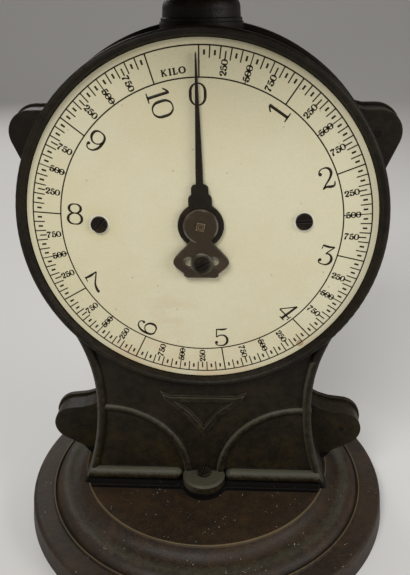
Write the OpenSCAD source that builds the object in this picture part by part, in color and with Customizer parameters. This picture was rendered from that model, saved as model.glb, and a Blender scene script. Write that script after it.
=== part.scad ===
// Spring dial family scale: a cast case on a round foot, a goods plate on a sliding stem, two coil springs,
// and a rack and pinion that turns the pointer. Millimetres, +Z up, the dial faces -Y, origin on the ground
// under the middle of the foot.

/* [Foot] */
// Radius of the foot where it meets the ground
foot_r = 112.1; // [104:0.1:120]
// Height of the disc that the case stands on
foot_h = 24; // [23:0.5:30]
// Radius of that disc
disc_r = 76.7; // [76:0.1:80]
// Wall of the foot casting
foot_wall = 4; // [3:0.5:6]

/* [Case] */
// Height of the dial's centre
dial_z = 190; // [186:0.5:196]
// Wall of the case castings
case_wall = 3.4; // [2.5:0.1:5]
// Front plane of the case plate behind the dial, ahead of the stem's axis
plate_f = 26; // [25.5:0.1:28]
// Thickness of that plate
plate_t = 3.5; // [2.5:0.1:4]
// Plane where the rear cover meets the case, behind the stem's axis
parting_y = 14; // [13:0.5:18]
// Depth of the rear cover
cover_d = 13; // [11:0.5:18]
// Half width of the pedestal at its waist
waist_x = 61.7; // [60:0.1:64]
// Height of the waist
waist_z = 86; // [82:0.5:90]
// Radius of the pedestal's sides below the waist
low_arc_r = 160; // [150:1:180]
// Radius of the pedestal's sides above the waist
high_arc_r = 95; // [93:0.5:100]
// How far the rim stands in front of the dial
rim_proud = 4.4; // [3:0.1:6]
// Width of the rim
rim_w = 4.6; // [4.2:0.1:6]

/* [Case lugs] */
// How far the upper lugs' middles stand inside the drum's radius
lug_up_in = 2.8; // [1:0.1:4]
// Angle of the upper lugs above the dial's centre
lug_up_deg = 24.35; // [22:0.05:27]
// How far the lower lugs' middles stand outside the waist
lug_low_out = 23.7; // [22:0.1:26]
// Height of the lower lugs
lug_low_z = 46.3; // [45:0.1:50]
// Radius of a lug
lug_r = 12; // [11:0.1:13]
// Thickness of the cover's own lugs
cover_lug_t = 3; // [2:0.5:4]
// Radius of a case screw
case_screw_r = 2; // [1.5:0.1:2.5]

/* [Dial] */
// Radius of the dial plate
dial_r = 89; // [87:0.1:91]
// Thickness of the dial plate
dial_t = 1; // [0.8:0.1:1.5]
// Gap between the dial plate and the rim
dial_gap = 0.4; // [0.2:0.1:0.6]
// Distance of the two dial screws from the centre
dial_screw_x = 52; // [46:0.5:58]
// Head radius of a dial screw
dial_screw_head_r = 4.3; // [3.5:0.1:5]
// How much higher the right dial screw sits than the left one
dial_screw_rise = 2.2; // [0:0.1:3]
// Height of the bar behind the dial
web_h = 20; // [17:0.5:24]
// Depth of that bar
web_t = 7; // [6:0.1:7.5]

/* [Pointer] */
// Length of the pointer from its centre to its tip
pointer_len = 83; // [76:0.5:85]
// Radius of the pointer's ring
pointer_ring_r = 11.75; // [10.5:0.05:13]
// Half width of the pointer above its shoulders
needle_w = 1.8; // [1.2:0.1:2.2]
// Degrees the pointer stands to the left of the zero line, as its clamp was last set
pointer_lean = 1; // [0:0.1:2]
// Thickness of the pointer
pointer_t = 1; // [0.8:0.1:1.3]
// Radius of the boss plate on the arbor
boss_plate_r = 9.1; // [8:0.1:10]
// Thickness of the boss plate
boss_plate_t = 1.4; // [1:0.1:1.8]
// Distance of the clamp screw from the centre
clamp_r = 20; // [19:0.1:21]
// Half angle of the clamp slot
clamp_deg = 19; // [16:1:22]

/* [Movement] */
// Travel of the stem from empty to full load
travel = 25.14; // [22:0.01:25.2]
// Tooth module of the rack and pinion
tooth_m = 0.6; // [0.55:0.01:0.65]
// Teeth of the pinion
pinion_teeth = 14; // [14:1:16]
// Play at the tooth flanks
backlash = 0.16; // [0.1:0.01:0.2]
// Radius of the pointer's arbor
arbor_r = 1.5; // [1.2:0.1:1.8]
// Running clearance of the arbor, the stem and the hinge pins
running = 0.06; // [0.03:0.01:0.1]
// Width of the rear bridge's opening
bridge_w = 26; // [24:1:32]

/* [Load train] */
// Radius of the stem
stem_r = 6; // [5:0.1:7]
// Radius of the goods plate
goods_r = 92; // [80:1:110]
// Thickness of the goods plate
goods_t = 5; // [4:0.5:7]
// Gap left under the goods plate's boss at full load
goods_gap = 1.2; // [0.6:0.1:3]
// Distance of the crosshead below the dial's centre
cross_dz = 51; // [48:1:54]
// Distance of the bar that the springs hang from above the dial's centre
hanger_dz = 58; // [56:0.5:59]
// Distance of the springs from the stem
spring_x = 28; // [26:0.5:32]

/* [Springs] */
// Wire diameter
spring_wire = 2.2; // [1.8:0.1:2.4]
// Mean radius of a coil
spring_mean_r = 7.4; // [6.5:0.1:8]
// Coils of each spring
spring_coils = 16; // [12:1:17]

/* [Collar] */
// Radius of the collar's flange
collar_r = 19.9; // [18:0.1:22]
// Height of the collar above its seat
collar_h = 12; // [10:0.5:14]

/* [Stay] */
// Length of the stay between its pins
stay_len = 46; // [40:0.5:48]
// Radius of the stay's pins
stay_pin_r = 2; // [1.5:0.1:2.5]
// Thickness of the stay
stay_t = 4; // [3:0.5:5]

/* [Hidden] */
$fn = 96;

eps = 0.01;
seat_f = plate_f + dial_t;             // front of the dial, ahead of the stem's axis
shoulder_z = dial_z - 56;              // where the pedestal's sides run into the drum
side_x = waist_x + 18;
rim_r = dial_r + dial_gap;
rim_out = rim_r + rim_w;
drum_r = rim_out - 0.6;                // the rim stands this little outside the drum
lug_up_x = drum_r - lug_up_in;
lug_up_z = dial_z + lug_up_x * tan(lug_up_deg);
lug_low_x = waist_x + lug_low_out;
back_y = parting_y + cover_d;
pad_z = dial_z + drum_r + 1.4;         // seat of the collar on top of the case
belt_r = drum_r + 2.6;
function dial_screw_z(side) = dial_z + (side > 0 ? dial_screw_rise : 0);
pad_r = collar_r + 0.6;
pad_low = dial_z + drum_r - case_wall - 3;
spigot_r = stem_r + 4;
collar_top = pad_z + collar_h;
goods_boss_z = collar_top + travel + goods_gap;
goods_z = goods_boss_z + 6;            // underside of the goods plate
pitch_r = tooth_m * pinion_teeth / 2;
tooth_pitch = PI * tooth_m;
web_back = plate_f - web_t;            // back of the bar behind the dial, ahead of the stem's axis
pinion_t = 4;
pinion_f = web_back - 2.2 - pinion_t / 2;
rack_t = 3;
bridge_f = stem_r + 1.6;               // back of the bridge plate
bridge_t = 2.4;
bridge_h = 14;
pillar_r = 4;
pillar_x = bridge_w / 2 + pillar_r;
pointer_f = seat_f + 1;                // back of the pointer
boss_f = pointer_f + pointer_t;        // back of the boss plate
hanger_t = 6;
cross_z = dial_z - cross_dz;
hanger_z = dial_z + hanger_dz;
hanger_wall_x = sqrt(pow(drum_r - case_wall, 2) - pow(hanger_dz + hanger_t / 2, 2));
hanger_half = hanger_wall_x - 4;       // the bar stops this far short of the drum's wall
cross_t = 10;
cross_half = spring_x + 9;
eye_r = 3.6;
fork_z = waist_z - 11;                 // axis of the fork pin at rest
stay_rise = travel / 2;                // the stay starts this far above level
stay_run = sqrt(stay_len * stay_len - stay_rise * stay_rise);
stay_x = -stay_run;
stay_z = fork_z - stay_rise;

boss_y = 29.3;                         // the base screws stand this far before and behind the stem's axis
boss_r = 12.7;
boss_h = 9.7;
base_head_r = 4.2;
flange_t = 2.4;
flange_f = 33;
arch_x = 57;
arch_z = 30.5;
arch_r = 47.5;
bead = 2.6;
rib_r = 3.9;
arch_bead = 2.7;
rib_in = 17;                           // the low rib ends here, beside the foot boss
cover_round = 5;
hook_top_z = hanger_z - hanger_t / 2 - 7;
hook_low_z = cross_z + cross_t / 2 + 7;
stem_low = fork_z + 7;
stud_x = pitch_r + 3.4;
cheek_t = 2.5;
cheek_in = stay_t / 2 + 0.3;
bracket_screw_x = [stay_x - 8, stay_x + 16];
arbor_square = 2.1;
// Right-hand half of the boss plate's fan, as shares of the clamp screw's distance
fan_outline = [[0.25, 0.2], [0.28, 0.38], [0.32, 0.45], [0.37, 0.51], [0.535, 0.68], [0.665, 0.83], [0.71, 0.91],
               [0.72, 0.97], [0.7, 1.04], [0.645, 1.115], [0.535, 1.205], [0.45, 1.275], [0.45, 1.34], [0.37, 1.39]];

black = [0.13, 0.11, 0.10];
cream = [0.87, 0.85, 0.76];
steel = [0.62, 0.61, 0.58];
dark_steel = [0.30, 0.26, 0.22];
brass_c = [0.72, 0.57, 0.30];

// Stands a flat outline, drawn as X and Z, up between two depths in Y
module upright(y0, y1) {
  translate([0, y1, 0]) rotate([90, 0, 0]) linear_extrude(y1 - y0) children();
}

// Turns a profile of radius and forward distance about a line along Y
module turned(x, z) {
  translate([x, 0, z]) rotate([90, 0, 0]) rotate_extrude() children();
}

// A round rod along Y
module rod_y(x, z, r, y0, y1) {
  upright(y0, y1) translate([x, z]) circle(r);
}

// Draws its children on the right-hand side and mirrored on the left
module both_sides() {
  children();
  mirror([1, 0, 0]) children();
}

// A right-hand outline and its mirror image, as one closed outline
function mirrored(points) =
  concat(points, [for (i = [len(points) - 1 : -1 : 0]) [-points[i].x, points[i].y]]);

// A slotted cheese-head screw along +Z, its head's underside at z = 0 and its shank below
module screw(head_r, head_h, shank_r, shank_l) {
  difference() {
    union() {
      cylinder(r = head_r, h = head_h);
      translate([0, 0, -shank_l]) cylinder(r = shank_r, h = shank_l + eps);
    }
    translate([-head_r - 1, -head_r * 0.13, head_h * 0.55]) cube([2 * head_r + 2, head_r * 0.26, head_h]);
  }
}

// Foot: a moulded round casting, hollow underneath. Its cove and its torus touch at one point
module foot_profile() {
  cove_r = 8;
  torus_r = 6.5;
  cove_x = disc_r + 8;
  cove_z = foot_h + 0.9;
  torus_x = cove_x + 5.2;
  torus_z = cove_z - sqrt(pow(cove_r + torus_r, 2) - pow(torus_x - cove_x, 2));
  difference() {
    union() {
      polygon([[0, 0], [foot_r, 0], [foot_r - 1.2, foot_h - 13.7], [foot_r - 3.5, foot_h - 11.3],
               [0, foot_h - 11.3]]);
      translate([foot_r - 3.5, foot_h - 13.6]) circle(2.3);
      translate([disc_r + 21, foot_h - 10.9]) circle(0.9);
      translate([torus_x, torus_z]) circle(torus_r);
      difference() {
        square([cove_x + (torus_x - cove_x) * cove_r / (cove_r + torus_r), foot_h - 1.2]);
        translate([cove_x, cove_z]) circle(cove_r);
      }
      square([disc_r - 0.5, foot_h]);
      translate([disc_r - 0.5, foot_h - 0.5]) circle(0.5);
      square([disc_r, foot_h - 0.5]);
    }
    polygon([[-1, -1], [foot_r - foot_wall - 0.5, -1], [foot_r - foot_wall - 1.3, foot_h - 11.3 - foot_wall],
             [disc_r + 11, foot_h - 11.3 - foot_wall], [disc_r + 7, foot_h - 7.5 - foot_wall],
             [disc_r - foot_wall, foot_h - 7 - foot_wall], [disc_r - foot_wall - 1, foot_h - foot_wall],
             [-1, foot_h - foot_wall]]);
  }
}

module base_foot() {
  color(black) difference() {
    union() {
      rotate_extrude() intersection() {
        foot_profile();
        square([foot_r, foot_h]);
      }
      for (s = [-1, 1]) translate([0, s * boss_y, foot_h - foot_wall - 7]) cylinder(r = 7, h = 8);
    }
    for (s = [-1, 1]) translate([0, s * boss_y, 0]) cylinder(r = 2.4, h = foot_h + 1);
    for (x = bracket_screw_x) translate([x, 0, 0]) cylinder(r = 1.6, h = foot_h + 1);
  }
}

// Outline of the pedestal in X and Z, drawn in by g
module pedestal_outline(g) {
  difference() {
    translate([-side_x, foot_h]) square([2 * side_x, waist_z - foot_h]);
    for (s = [-1, 1]) translate([s * (waist_x + low_arc_r), waist_z]) circle(low_arc_r + g, $fn = 360);
  }
  difference() {
    translate([-side_x, waist_z]) square([2 * side_x, shoulder_z - waist_z]);
    for (s = [-1, 1]) translate([s * (waist_x + high_arc_r), waist_z]) circle(high_arc_r + g, $fn = 360);
  }
}

// Outline of the whole case, drawn in by g
module case_outline(g) {
  translate([0, dial_z]) circle(drum_r - g, $fn = 180);
  pedestal_outline(g);
}

// Round bead that follows the pedestal's side at a radius of bead_r, its middle at depth y
module side_bead(bead_r, y) {
  intersection() {
    translate([0, y, 0]) turned(waist_x + low_arc_r, waist_z) translate([low_arc_r + bead_r, 0]) circle(bead_r);
    translate([0, y - bead_r - 1, foot_h]) cube([side_x, 2 * bead_r + 2, waist_z - foot_h]);
  }
  intersection() {
    translate([0, y, 0]) turned(waist_x + high_arc_r, waist_z) translate([high_arc_r + bead_r, 0]) circle(bead_r);
    translate([0, y - bead_r - 1, waist_z]) cube([side_x, 2 * bead_r + 2, shoulder_z - waist_z]);
  }
}

// Lugs, drawn on the right-hand side
module upper_lug(r) {
  translate([lug_up_x, lug_up_z]) circle(r);
  polygon([[drum_r - 20, lug_up_z - 10], [drum_r - 20, lug_up_z + r + 4.5], [drum_r - 16.5, lug_up_z + r + 1.6],
           [drum_r - 10, lug_up_z + r], [lug_up_x, lug_up_z + r],
           [lug_up_x + r * 0.93, lug_up_z - r * 0.37], [drum_r - 1, lug_up_z - 27], [drum_r - 10, lug_up_z - 27]]);
}

module lower_lug(r) {
  translate([lug_low_x, lug_low_z]) circle(r);
  polygon([[waist_x - 1, lug_low_z + r + 10], [waist_x + 3.5, lug_low_z + r + 7], [waist_x + 10, lug_low_z + r + 3.2],
           [waist_x + 16.5, lug_low_z + r + 1], [lug_low_x + r * 0.2, lug_low_z + r * 0.98],
           [lug_low_x + r * 0.6, lug_low_z - r * 0.8], [lug_low_x - 5, lug_low_z - r - 4.5],
           [waist_x + 14.5, foot_h + 0.4], [waist_x - 1, foot_h + 0.4]]);
}

module lugs(r) {
  both_sides() {
    upper_lug(r);
    lower_lug(r);
  }
}

// Places its children at the four case screws, pointing back; the sign tells left from right
module at_case_screws(y) {
  for (s = [-1, 1], p = [[lug_up_x, lug_up_z], [lug_low_x, lug_low_z]])
    translate([s * p[0], y, p[1]]) rotate([-90, 0, 0]) children();
}

// Foot boss that carries a base screw
module foot_boss(s) {
  translate([0, s * boss_y, foot_h]) {
    cylinder(r = boss_r, h = boss_h - 1.2);
    translate([0, 0, boss_h - 1.2]) cylinder(r1 = boss_r, r2 = boss_r - 1.2, h = 1.2);
  }
}

// Rounded inside corner between the flange's front edge and the foot boss, on the right-hand side
module boss_fillet() {
  corner_r = 4;
  rise = flange_f + corner_r - boss_y;
  corner_x = sqrt(pow(boss_r + corner_r, 2) - pow(rise, 2));
  touch = boss_r / (boss_r + corner_r);
  translate([0, 0, foot_h]) linear_extrude(flange_t) difference() {
    polygon([[boss_r / 2, -flange_f + 0.5], [corner_x, -flange_f + 0.5], [corner_x, -flange_f],
             [corner_x * touch, -boss_y - rise * touch], [boss_r / 2, -boss_y - rise * touch]]);
    translate([corner_x, -flange_f - corner_r]) circle(corner_r);
  }
}

// Hole for a base screw, and the room its head takes in the wall beside it
module base_screw_room(s) {
  translate([0, s * boss_y, foot_h - 1]) cylinder(r = 2.4, h = boss_h + 2);
  translate([0, s * boss_y, foot_h + boss_h]) cylinder(r = base_head_r + 0.5, h = 3);
}

// Raised ornament on the pedestal's front, forward distances from the stem's axis
module pedestal_ornament() {
  both_sides() {
    side_bead(bead, -plate_f - 0.6);
    intersection() {
      translate([0, -plate_f + 0.4, 0]) turned(arch_x, arch_z) translate([arch_r, 0]) circle(arch_bead);
      translate([0, -plate_f - 4, arch_z]) cube([arch_x, 8, arch_r + 5]);
    }
    translate([arch_x, -plate_f + 0.4, arch_z + arch_r]) rotate([0, 90, 0]) cylinder(r = arch_bead, h = 5);
  }
  intersection() {
    both_sides() translate([rib_in, -plate_f - 1.2, foot_h + 7.9]) {
      sphere(rib_r);
      rotate([0, 90, 0]) cylinder(r = rib_r, h = side_x);
    }
    upright(-plate_f - 6, -plate_f + 3) pedestal_outline(1);
  }
  triangle_frame(2.4, 0.9);
  triangle_frame(1.3, 1.8);
}

// One layer of the raised triangle's frame, its bars 2 * half wide, standing proud of the front plate
module triangle_frame(half, proud) {
  upright(-plate_f - proud, -plate_f + 1) difference() {
    polygon(mirrored([[19, 84.8 + half], [22.5 + half, 86.1 + half * 1.5], [20.5 + 0.65 * half, 85 - 0.76 * half],
                      [8.4 + 0.74 * half, 74.6 - 0.67 * half], [0.01, 62.6 - 1.74 * half]]));
    polygon(mirrored([[20.3 - 2.7 * half, 84.8 - half], [8.4 - 0.74 * half, 74.6 + 0.67 * half],
                      [0.01, 62.6 + 1.74 * half]]));
  }
}

// Belt round the drum where its two halves meet, from one depth to another, each side rounded off by its own size.
// It is cut flat under the collar
module belt(front, back, front_round, back_round) {
  difference() {
    turned(0, dial_z)
      polygon([[drum_r - 1, -front], [belt_r - front_round, -front], [belt_r, -front - front_round],
               [belt_r, -back + back_round], [belt_r - back_round, -back], [drum_r - 1, -back]]);
    translate([-40, -60, pad_z]) cube([80, 120, 20]);
  }
}

// Case: the front casting, with the rim, the pedestal, its lugs and the bar behind the dial
module case_front() {
  color(black) difference() {
    union() {
      difference() {
        union() {
          upright(-plate_f, parting_y) case_outline(0);
          belt(0, parting_y, 1, 0);
        }
        upright(-plate_f + plate_t, parting_y + 1) case_outline(case_wall);
        rod_y(0, dial_z, rim_r - 6, -plate_f - 1, -plate_f + plate_t + 1);
      }
      turned(0, dial_z) union() {
        polygon([[rim_r, plate_f - 2], [rim_r, seat_f + 1.4], [rim_r + 1.3, seat_f + rim_proud - 0.6],
                 [rim_out - 1.9, seat_f + rim_proud], [rim_out, seat_f + rim_proud - 1.9],
                 [rim_out, plate_f + 0.4], [drum_r - 1, plate_f - 2]]);
        translate([rim_out - 1.9, seat_f + rim_proud - 1.9]) circle(1.9);
      }
      upright(-plate_f, -web_back) translate([-rim_r + 4, dial_z - web_h / 2]) square([2 * rim_r - 8, web_h]);
      difference() {
        upright(0, parting_y) lugs(lug_r);
        upright(-1, parting_y + 1) case_outline(case_wall / 2);
      }
      difference() {
        pedestal_ornament();
        rod_y(0, dial_z, rim_r, -plate_f - 8, 0);
      }
      intersection() {
        union() {
          foot_boss(-1);
          upright(-flange_f, -plate_f + 1) intersection() {
            pedestal_outline(0);
            translate([-side_x, foot_h]) square([2 * side_x, flange_t]);
          }
          both_sides() boss_fillet();
        }
        cylinder(r = disc_r - 0.7, h = foot_h + 20);
        translate([-side_x, -60, 0]) cube([2 * side_x, 60 - plate_f + plate_t, foot_h + 20]);
      }
      intersection() {
        translate([0, 0, pad_low]) cylinder(r = pad_r, h = pad_z - pad_low);
        translate([-50, -50, 0]) cube([100, 50 + parting_y, 400]);
      }
      hanger_seats();
    }
    translate([0, 0, pad_low - 1]) cylinder(r = spigot_r + 0.2, h = 20);
    rod_y(0, dial_z, arbor_r + 2.2, -plate_f - 1, -web_back + 1);
    for (s = [-1, 1]) rod_y(s * dial_screw_x, dial_screw_z(s), 1.6, -plate_f - 1, -web_back + 1);
    for (s = [-1, 1]) rod_y(s * pillar_x, dial_z, 1.2, -web_back - 4, -web_back + 1);
    base_screw_room(-1);
    for (z = [lug_up_z, lug_low_z]) {
      x = z == lug_up_z ? lug_up_x : lug_low_x;
      rod_y(x, z, case_screw_r, -1, parting_y + 1);
      rod_y(-x, z, case_screw_r, 4, parting_y + 1);
    }
    for (s = [-1, 1]) translate([s * (hanger_half - 5), 0, hanger_z - hanger_t / 2 - 8]) cylinder(r = 1.7, h = 20);
  }
}

// Two cast seats inside the drum that carry the spring hanger
module hanger_seats() {
  intersection() {
    both_sides() translate([hanger_half - 14, -7, hanger_z - hanger_t / 2 - 9]) cube([drum_r - hanger_half, 14, 9]);
    rod_y(0, dial_z, drum_r - 1, -20, parting_y);
  }
}

// Rear cover: a shallow dish that closes the case from behind
module case_back() {
  color(black) difference() {
    union() {
      upright(parting_y, back_y - cover_round) case_outline(0);
      belt(parting_y, parting_y + cover_lug_t, 0, 1);
      upright(parting_y, back_y) case_outline(cover_round);
      translate([0, back_y - cover_round, 0]) turned(0, dial_z)
        translate([drum_r - cover_round, 0]) circle(cover_round);
      both_sides() side_bead(cover_round, back_y - cover_round);
      difference() {
        upright(parting_y, parting_y + cover_lug_t) lugs(lug_r + 1.5);
        upright(parting_y - 1, parting_y + cover_lug_t + 1) case_outline(case_wall / 2);
      }
      intersection() {
        translate([0, 0, pad_low]) cylinder(r = pad_r, h = pad_z - pad_low);
        translate([-50, parting_y, 0]) cube([100, 50, 400]);
      }
      intersection() {
        foot_boss(1);
        cylinder(r = disc_r - 0.7, h = foot_h + 20);
      }
    }
    upright(parting_y - 1, back_y - case_wall) case_outline(cover_round);
    upright(parting_y - 1, back_y - cover_round) case_outline(case_wall);
    translate([-40, parting_y - 20, foot_h - 1]) cube([80, 20, 30]);
    base_screw_room(1);
    at_case_screws(parting_y - 1) cylinder(r = case_screw_r + 0.3, h = cover_lug_t + 2);
  }
}

module case_screws() {
  color(dark_steel) {
    for (s = [-1, 1], p = [[lug_up_x, lug_up_z], [lug_low_x, lug_low_z]])
      translate([s * p[0], parting_y + cover_lug_t, p[1]]) rotate([-90, 0, 0])
        screw(3.6, 2.4, case_screw_r - 0.03, s > 0 ? parting_y + cover_lug_t + 0.6 : parting_y + cover_lug_t - 4.4);
  }
}

module base_screws() {
  color(dark_steel) for (s = [-1, 1])
    translate([0, s * boss_y, foot_h + boss_h]) rotate([0, 0, 80])
      screw(base_head_r, 1.8, 2.3, boss_h + foot_wall + 6);
}

module dial_plate() {
  color(cream) difference() {
    rod_y(0, dial_z, dial_r, -seat_f, -plate_f);
    rod_y(0, dial_z, arbor_r + 1.2, -seat_f - 1, 0);
    for (s = [-1, 1]) rod_y(s * dial_screw_x, dial_screw_z(s), 1.8, -seat_f - 1, 0);
  }
}

module dial_screws() {
  color(dark_steel) for (s = [-1, 1])
    translate([s * dial_screw_x, -seat_f, dial_screw_z(s)]) rotate([90, 0, 0]) rotate([0, 0, s < 0 ? 50 : 4])
      screw(dial_screw_head_r, 1.5, 1.5, dial_t + web_t - 1);
}

// Collar: a domed gland on top of the case that guides the stem
module stem_collar() {
  spigot_low = pad_low - 6;
  dome_r = 6.2;
  color(black) difference() {
    translate([0, 0, pad_z]) rotate_extrude() union() {
      square([collar_r - 0.5, 1.9]);
      square([collar_r, 1.4]);
      translate([collar_r - 0.5, 1.4]) circle(0.5);
      polygon([[0, 0], [collar_r - 0.6, 0], [collar_r - 1, 5], [collar_r - 1.6, 5.5], [0, 5.5]]);
      intersection() {
        translate([0, collar_h - dome_r]) {
          square([collar_r - dome_r - 1, dome_r]);
          translate([collar_r - dome_r - 1, 0]) circle(dome_r);
        }
        square([collar_r, collar_h]);
      }
      translate([0, spigot_low - pad_z]) square([spigot_r, pad_z - spigot_low + 1]);
    }
    translate([0, 0, spigot_low - 1]) cylinder(r = stem_r + running, h = 60);
  }
}

module collar_nut() {
  color(brass_c) translate([0, 0, pad_low - 4]) difference() {
    cylinder(r = spigot_r + 4, h = 4, $fn = 6);
    translate([0, 0, -1]) cylinder(r = spigot_r + 0.02, h = 6);
  }
}

// Bridge: a brass plate on two pillars that carries the back of the arbor
module movement_bridge() {
  color(brass_c) difference() {
    union() {
      upright(-bridge_f - bridge_t, -bridge_f) bridge_outline();
      for (s = [-1, 1]) rod_y(s * pillar_x, dial_z, pillar_r, -web_back, -bridge_f - bridge_t / 2);
    }
    for (s = [-1, 1]) rod_y(s * pillar_x, dial_z, 1.3, -web_back - 1, 0);
    rod_y(0, dial_z, arbor_r + 1.8, -20, 0);
  }
}

module bridge_outline() {
  translate([-pillar_x, dial_z - bridge_h / 2]) square([2 * pillar_x, bridge_h]);
  for (s = [-1, 1]) translate([s * pillar_x, dial_z]) circle(bridge_h / 2);
}

module bridge_screws() {
  color(steel) for (s = [-1, 1])
    translate([s * pillar_x, -bridge_f, dial_z]) rotate([-90, 0, 0])
      screw(2.6, 1.4, 1.15, web_back - bridge_f + 3.5);
}

module front_bush() {
  color(brass_c) difference() {
    union() {
      rod_y(0, dial_z, arbor_r + 2.15, -plate_f + 0.2, -web_back);
      rod_y(0, dial_z, arbor_r + 3.2, -web_back, -web_back + 1);
    }
    rod_y(0, dial_z, arbor_r + running, -plate_f - 1, -web_back + 2);
  }
}

module rear_bush() {
  color(brass_c) difference() {
    rod_y(0, dial_z, arbor_r + 1.75, -bridge_f - bridge_t - 0.6, -bridge_f);
    rod_y(0, dial_z, arbor_r + running, -bridge_f - bridge_t - 1.6, 0);
  }
}

// Hanger: a fixed bar across the drum that the springs hang from
module spring_hanger() {
  color(dark_steel) difference() {
    union() {
      translate([-hanger_half, -6, hanger_z - hanger_t / 2]) cube([2 * hanger_half, 12, hanger_t]);
      translate([0, 0, hanger_z - hanger_t / 2]) cylinder(r = stem_r + 5, h = hanger_t);
    }
    translate([0, 0, hanger_z - hanger_t]) cylinder(r = stem_r + 1, h = 2 * hanger_t);
    for (s = [-1, 1]) {
      translate([s * spring_x, 0, hanger_z - hanger_t]) cylinder(r = 2.1, h = 2 * hanger_t);
      translate([s * (hanger_half - 5), 0, hanger_z - hanger_t]) cylinder(r = 2.1, h = 2 * hanger_t);
    }
  }
}

module hanger_screws() {
  color(steel) for (s = [-1, 1])
    translate([s * (hanger_half - 5), 0, hanger_z + hanger_t / 2]) screw(3.6, 2.2, 1.65, hanger_t + 7);
}

// An eye bolt along Z with its nut; the eye's middle at z = 0, the shank rises
module eye_bolt(len, bar_low, bar_t) {
  rotate([90, 0, 0]) rotate_extrude() translate([eye_r, 0]) circle(1.3);
  translate([0, 0, eye_r + 0.6]) cylinder(r = 2, h = len - eye_r - 0.6);
  translate([0, 0, bar_low + bar_t]) difference() {
    cylinder(r = 4.4, h = 3.2, $fn = 6);
    translate([0, 0, -1]) cylinder(r = 2, h = 6);
  }
}

module upper_spring_hooks() {
  color(steel) for (s = [-1, 1]) translate([s * spring_x, 0, hook_top_z])
    eye_bolt(7 + hanger_t + 5, 7, hanger_t);
}

module lower_spring_hooks() {
  color(steel) for (s = [-1, 1]) translate([s * spring_x, 0, hook_low_z]) mirror([0, 0, 1])
    eye_bolt(7 + cross_t + 5, 7, cross_t);
}

// Springs: one wire each, hook to hook
spring_end = spring_wire / 2 + 1.3 + 0.15;     // from the middle of an eye's bar to the middle of the hook's wire
spring_top = hook_top_z - eye_r + spring_end;
spring_low = hook_low_z + eye_r - spring_end;
hook_r = 4;
hook_rise = 4;
coil_top = spring_top - 2 * hook_r - hook_rise;
coil_low = spring_low + 2 * hook_r + hook_rise;
ring_n = 8;
function lerp(a, b, t) = a + (b - a) * t;
// From a coil's end in to the middle, then round the open hook, heights from the coil's end
end_points = concat(
  [for (i = [1 : 6]) let (t = i / 6, r = spring_mean_r * (1 - t), a = 270 * t)
    [r * cos(a), r * sin(a), hook_rise * t]],
  [for (a = [-65 : 24 : 223]) [0, hook_r * cos(a), hook_rise + hook_r + hook_r * sin(a)]]);
spring_path = concat(
  [for (i = [len(end_points) - 1 : -1 : 0]) let (p = end_points[i]) [p.x, -p.y, coil_low - p.z]],
  [for (i = [0 : spring_coils * ring_n]) let (a = 360 * i / ring_n)
    [spring_mean_r * cos(a), spring_mean_r * sin(a), lerp(coil_low, coil_top, i / (spring_coils * ring_n))]],
  [for (p = end_points) [p.x, p.y, coil_top + p.z]]);
spring_gap = min([for (i = [0 : len(spring_path) - 1], j = [i + 6 : 1 : len(spring_path) - 1])
  norm(spring_path[j] - spring_path[i])]) - spring_wire;
echo(least_gap_of_a_spring_to_itself = spring_gap);

function unit(v) = v / norm(v);
function tangent(p, i) = unit(p[min(i + 1, len(p) - 1)] - p[max(i - 1, 0)]);
// Carries a side vector along the path without twist
function carry(p, i, side) = let (t = tangent(p, i)) unit(side - t * (side * t));
function sides(p, i = 0, side = [1, 0, 0], out = []) =
  i == len(p) ? out
  : let (s = carry(p, i, norm(cross(side, tangent(p, i))) < 0.05 ? [0, 1, 0.3] : side))
    sides(p, i + 1, s, concat(out, [s]));

// Sweeps a round wire of n sides along a path
module wire(path, r, n = 6) {
  side = sides(path);
  pts = [for (i = [0 : len(path) - 1]) let (t = tangent(path, i), u = side[i], v = cross(t, u))
         for (k = [0 : n - 1]) path[i] + r * (cos(360 * k / n) * u + sin(360 * k / n) * v)];
  last = (len(path) - 1) * n;
  faces = concat(
    [[for (k = [0 : n - 1]) k]],
    [for (i = [0 : len(path) - 2], k = [0 : n - 1], h = [0, 1])
      let (a = i * n + k, b = i * n + (k + 1) % n)
      h == 0 ? [a, a + n, b] : [b, a + n, b + n]],
    [[for (k = [n - 1 : -1 : 0]) last + k]]);
  polyhedron(points = pts, faces = faces, convexity = 10);
}

module spring() {
  color(steel) wire(spring_path, spring_wire / 2);
}

module spring_left() {
  translate([-spring_x, 0, 0]) spring();
}

module spring_right() {
  translate([spring_x, 0, 0]) spring();
}

// Bracket on the foot that holds the stay's fixed end
module stay_bracket() {
  color(dark_steel) difference() {
    union() {
      translate([bracket_screw_x[0] - 5, -9, foot_h]) cube([bracket_screw_x[1] - bracket_screw_x[0] + 10, 18, 3]);
      for (s = [-1, 1]) {
        y0 = s > 0 ? cheek_in : -cheek_in - cheek_t;
        upright(y0, y0 + cheek_t) {
          translate([stay_x, stay_z]) circle(5);
          polygon([[stay_x - 5, stay_z], [stay_x + 5, stay_z], [stay_x + 9, foot_h + 1], [stay_x - 4, foot_h + 1]]);
        }
      }
    }
    rod_y(stay_x, stay_z, stay_pin_r + 0.02, -20, 20);
    for (x = bracket_screw_x) translate([x, 0, foot_h - 1]) cylinder(r = 1.9, h = 6);
  }
}

module bracket_screws() {
  color(steel) for (x = bracket_screw_x) translate([x, 0, foot_h + 3]) screw(3.2, 2, 1.55, foot_wall + 5);
}

module stay_pin() {
  half = cheek_in + cheek_t + 1;
  color(steel) {
    rod_y(stay_x, stay_z, stay_pin_r, -half, half);
    rod_y(stay_x, stay_z, stay_pin_r + 1, -half - 1.2, -half);
    rod_y(stay_x, stay_z, stay_pin_r + 1, half, half + 1.2);
  }
}

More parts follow.
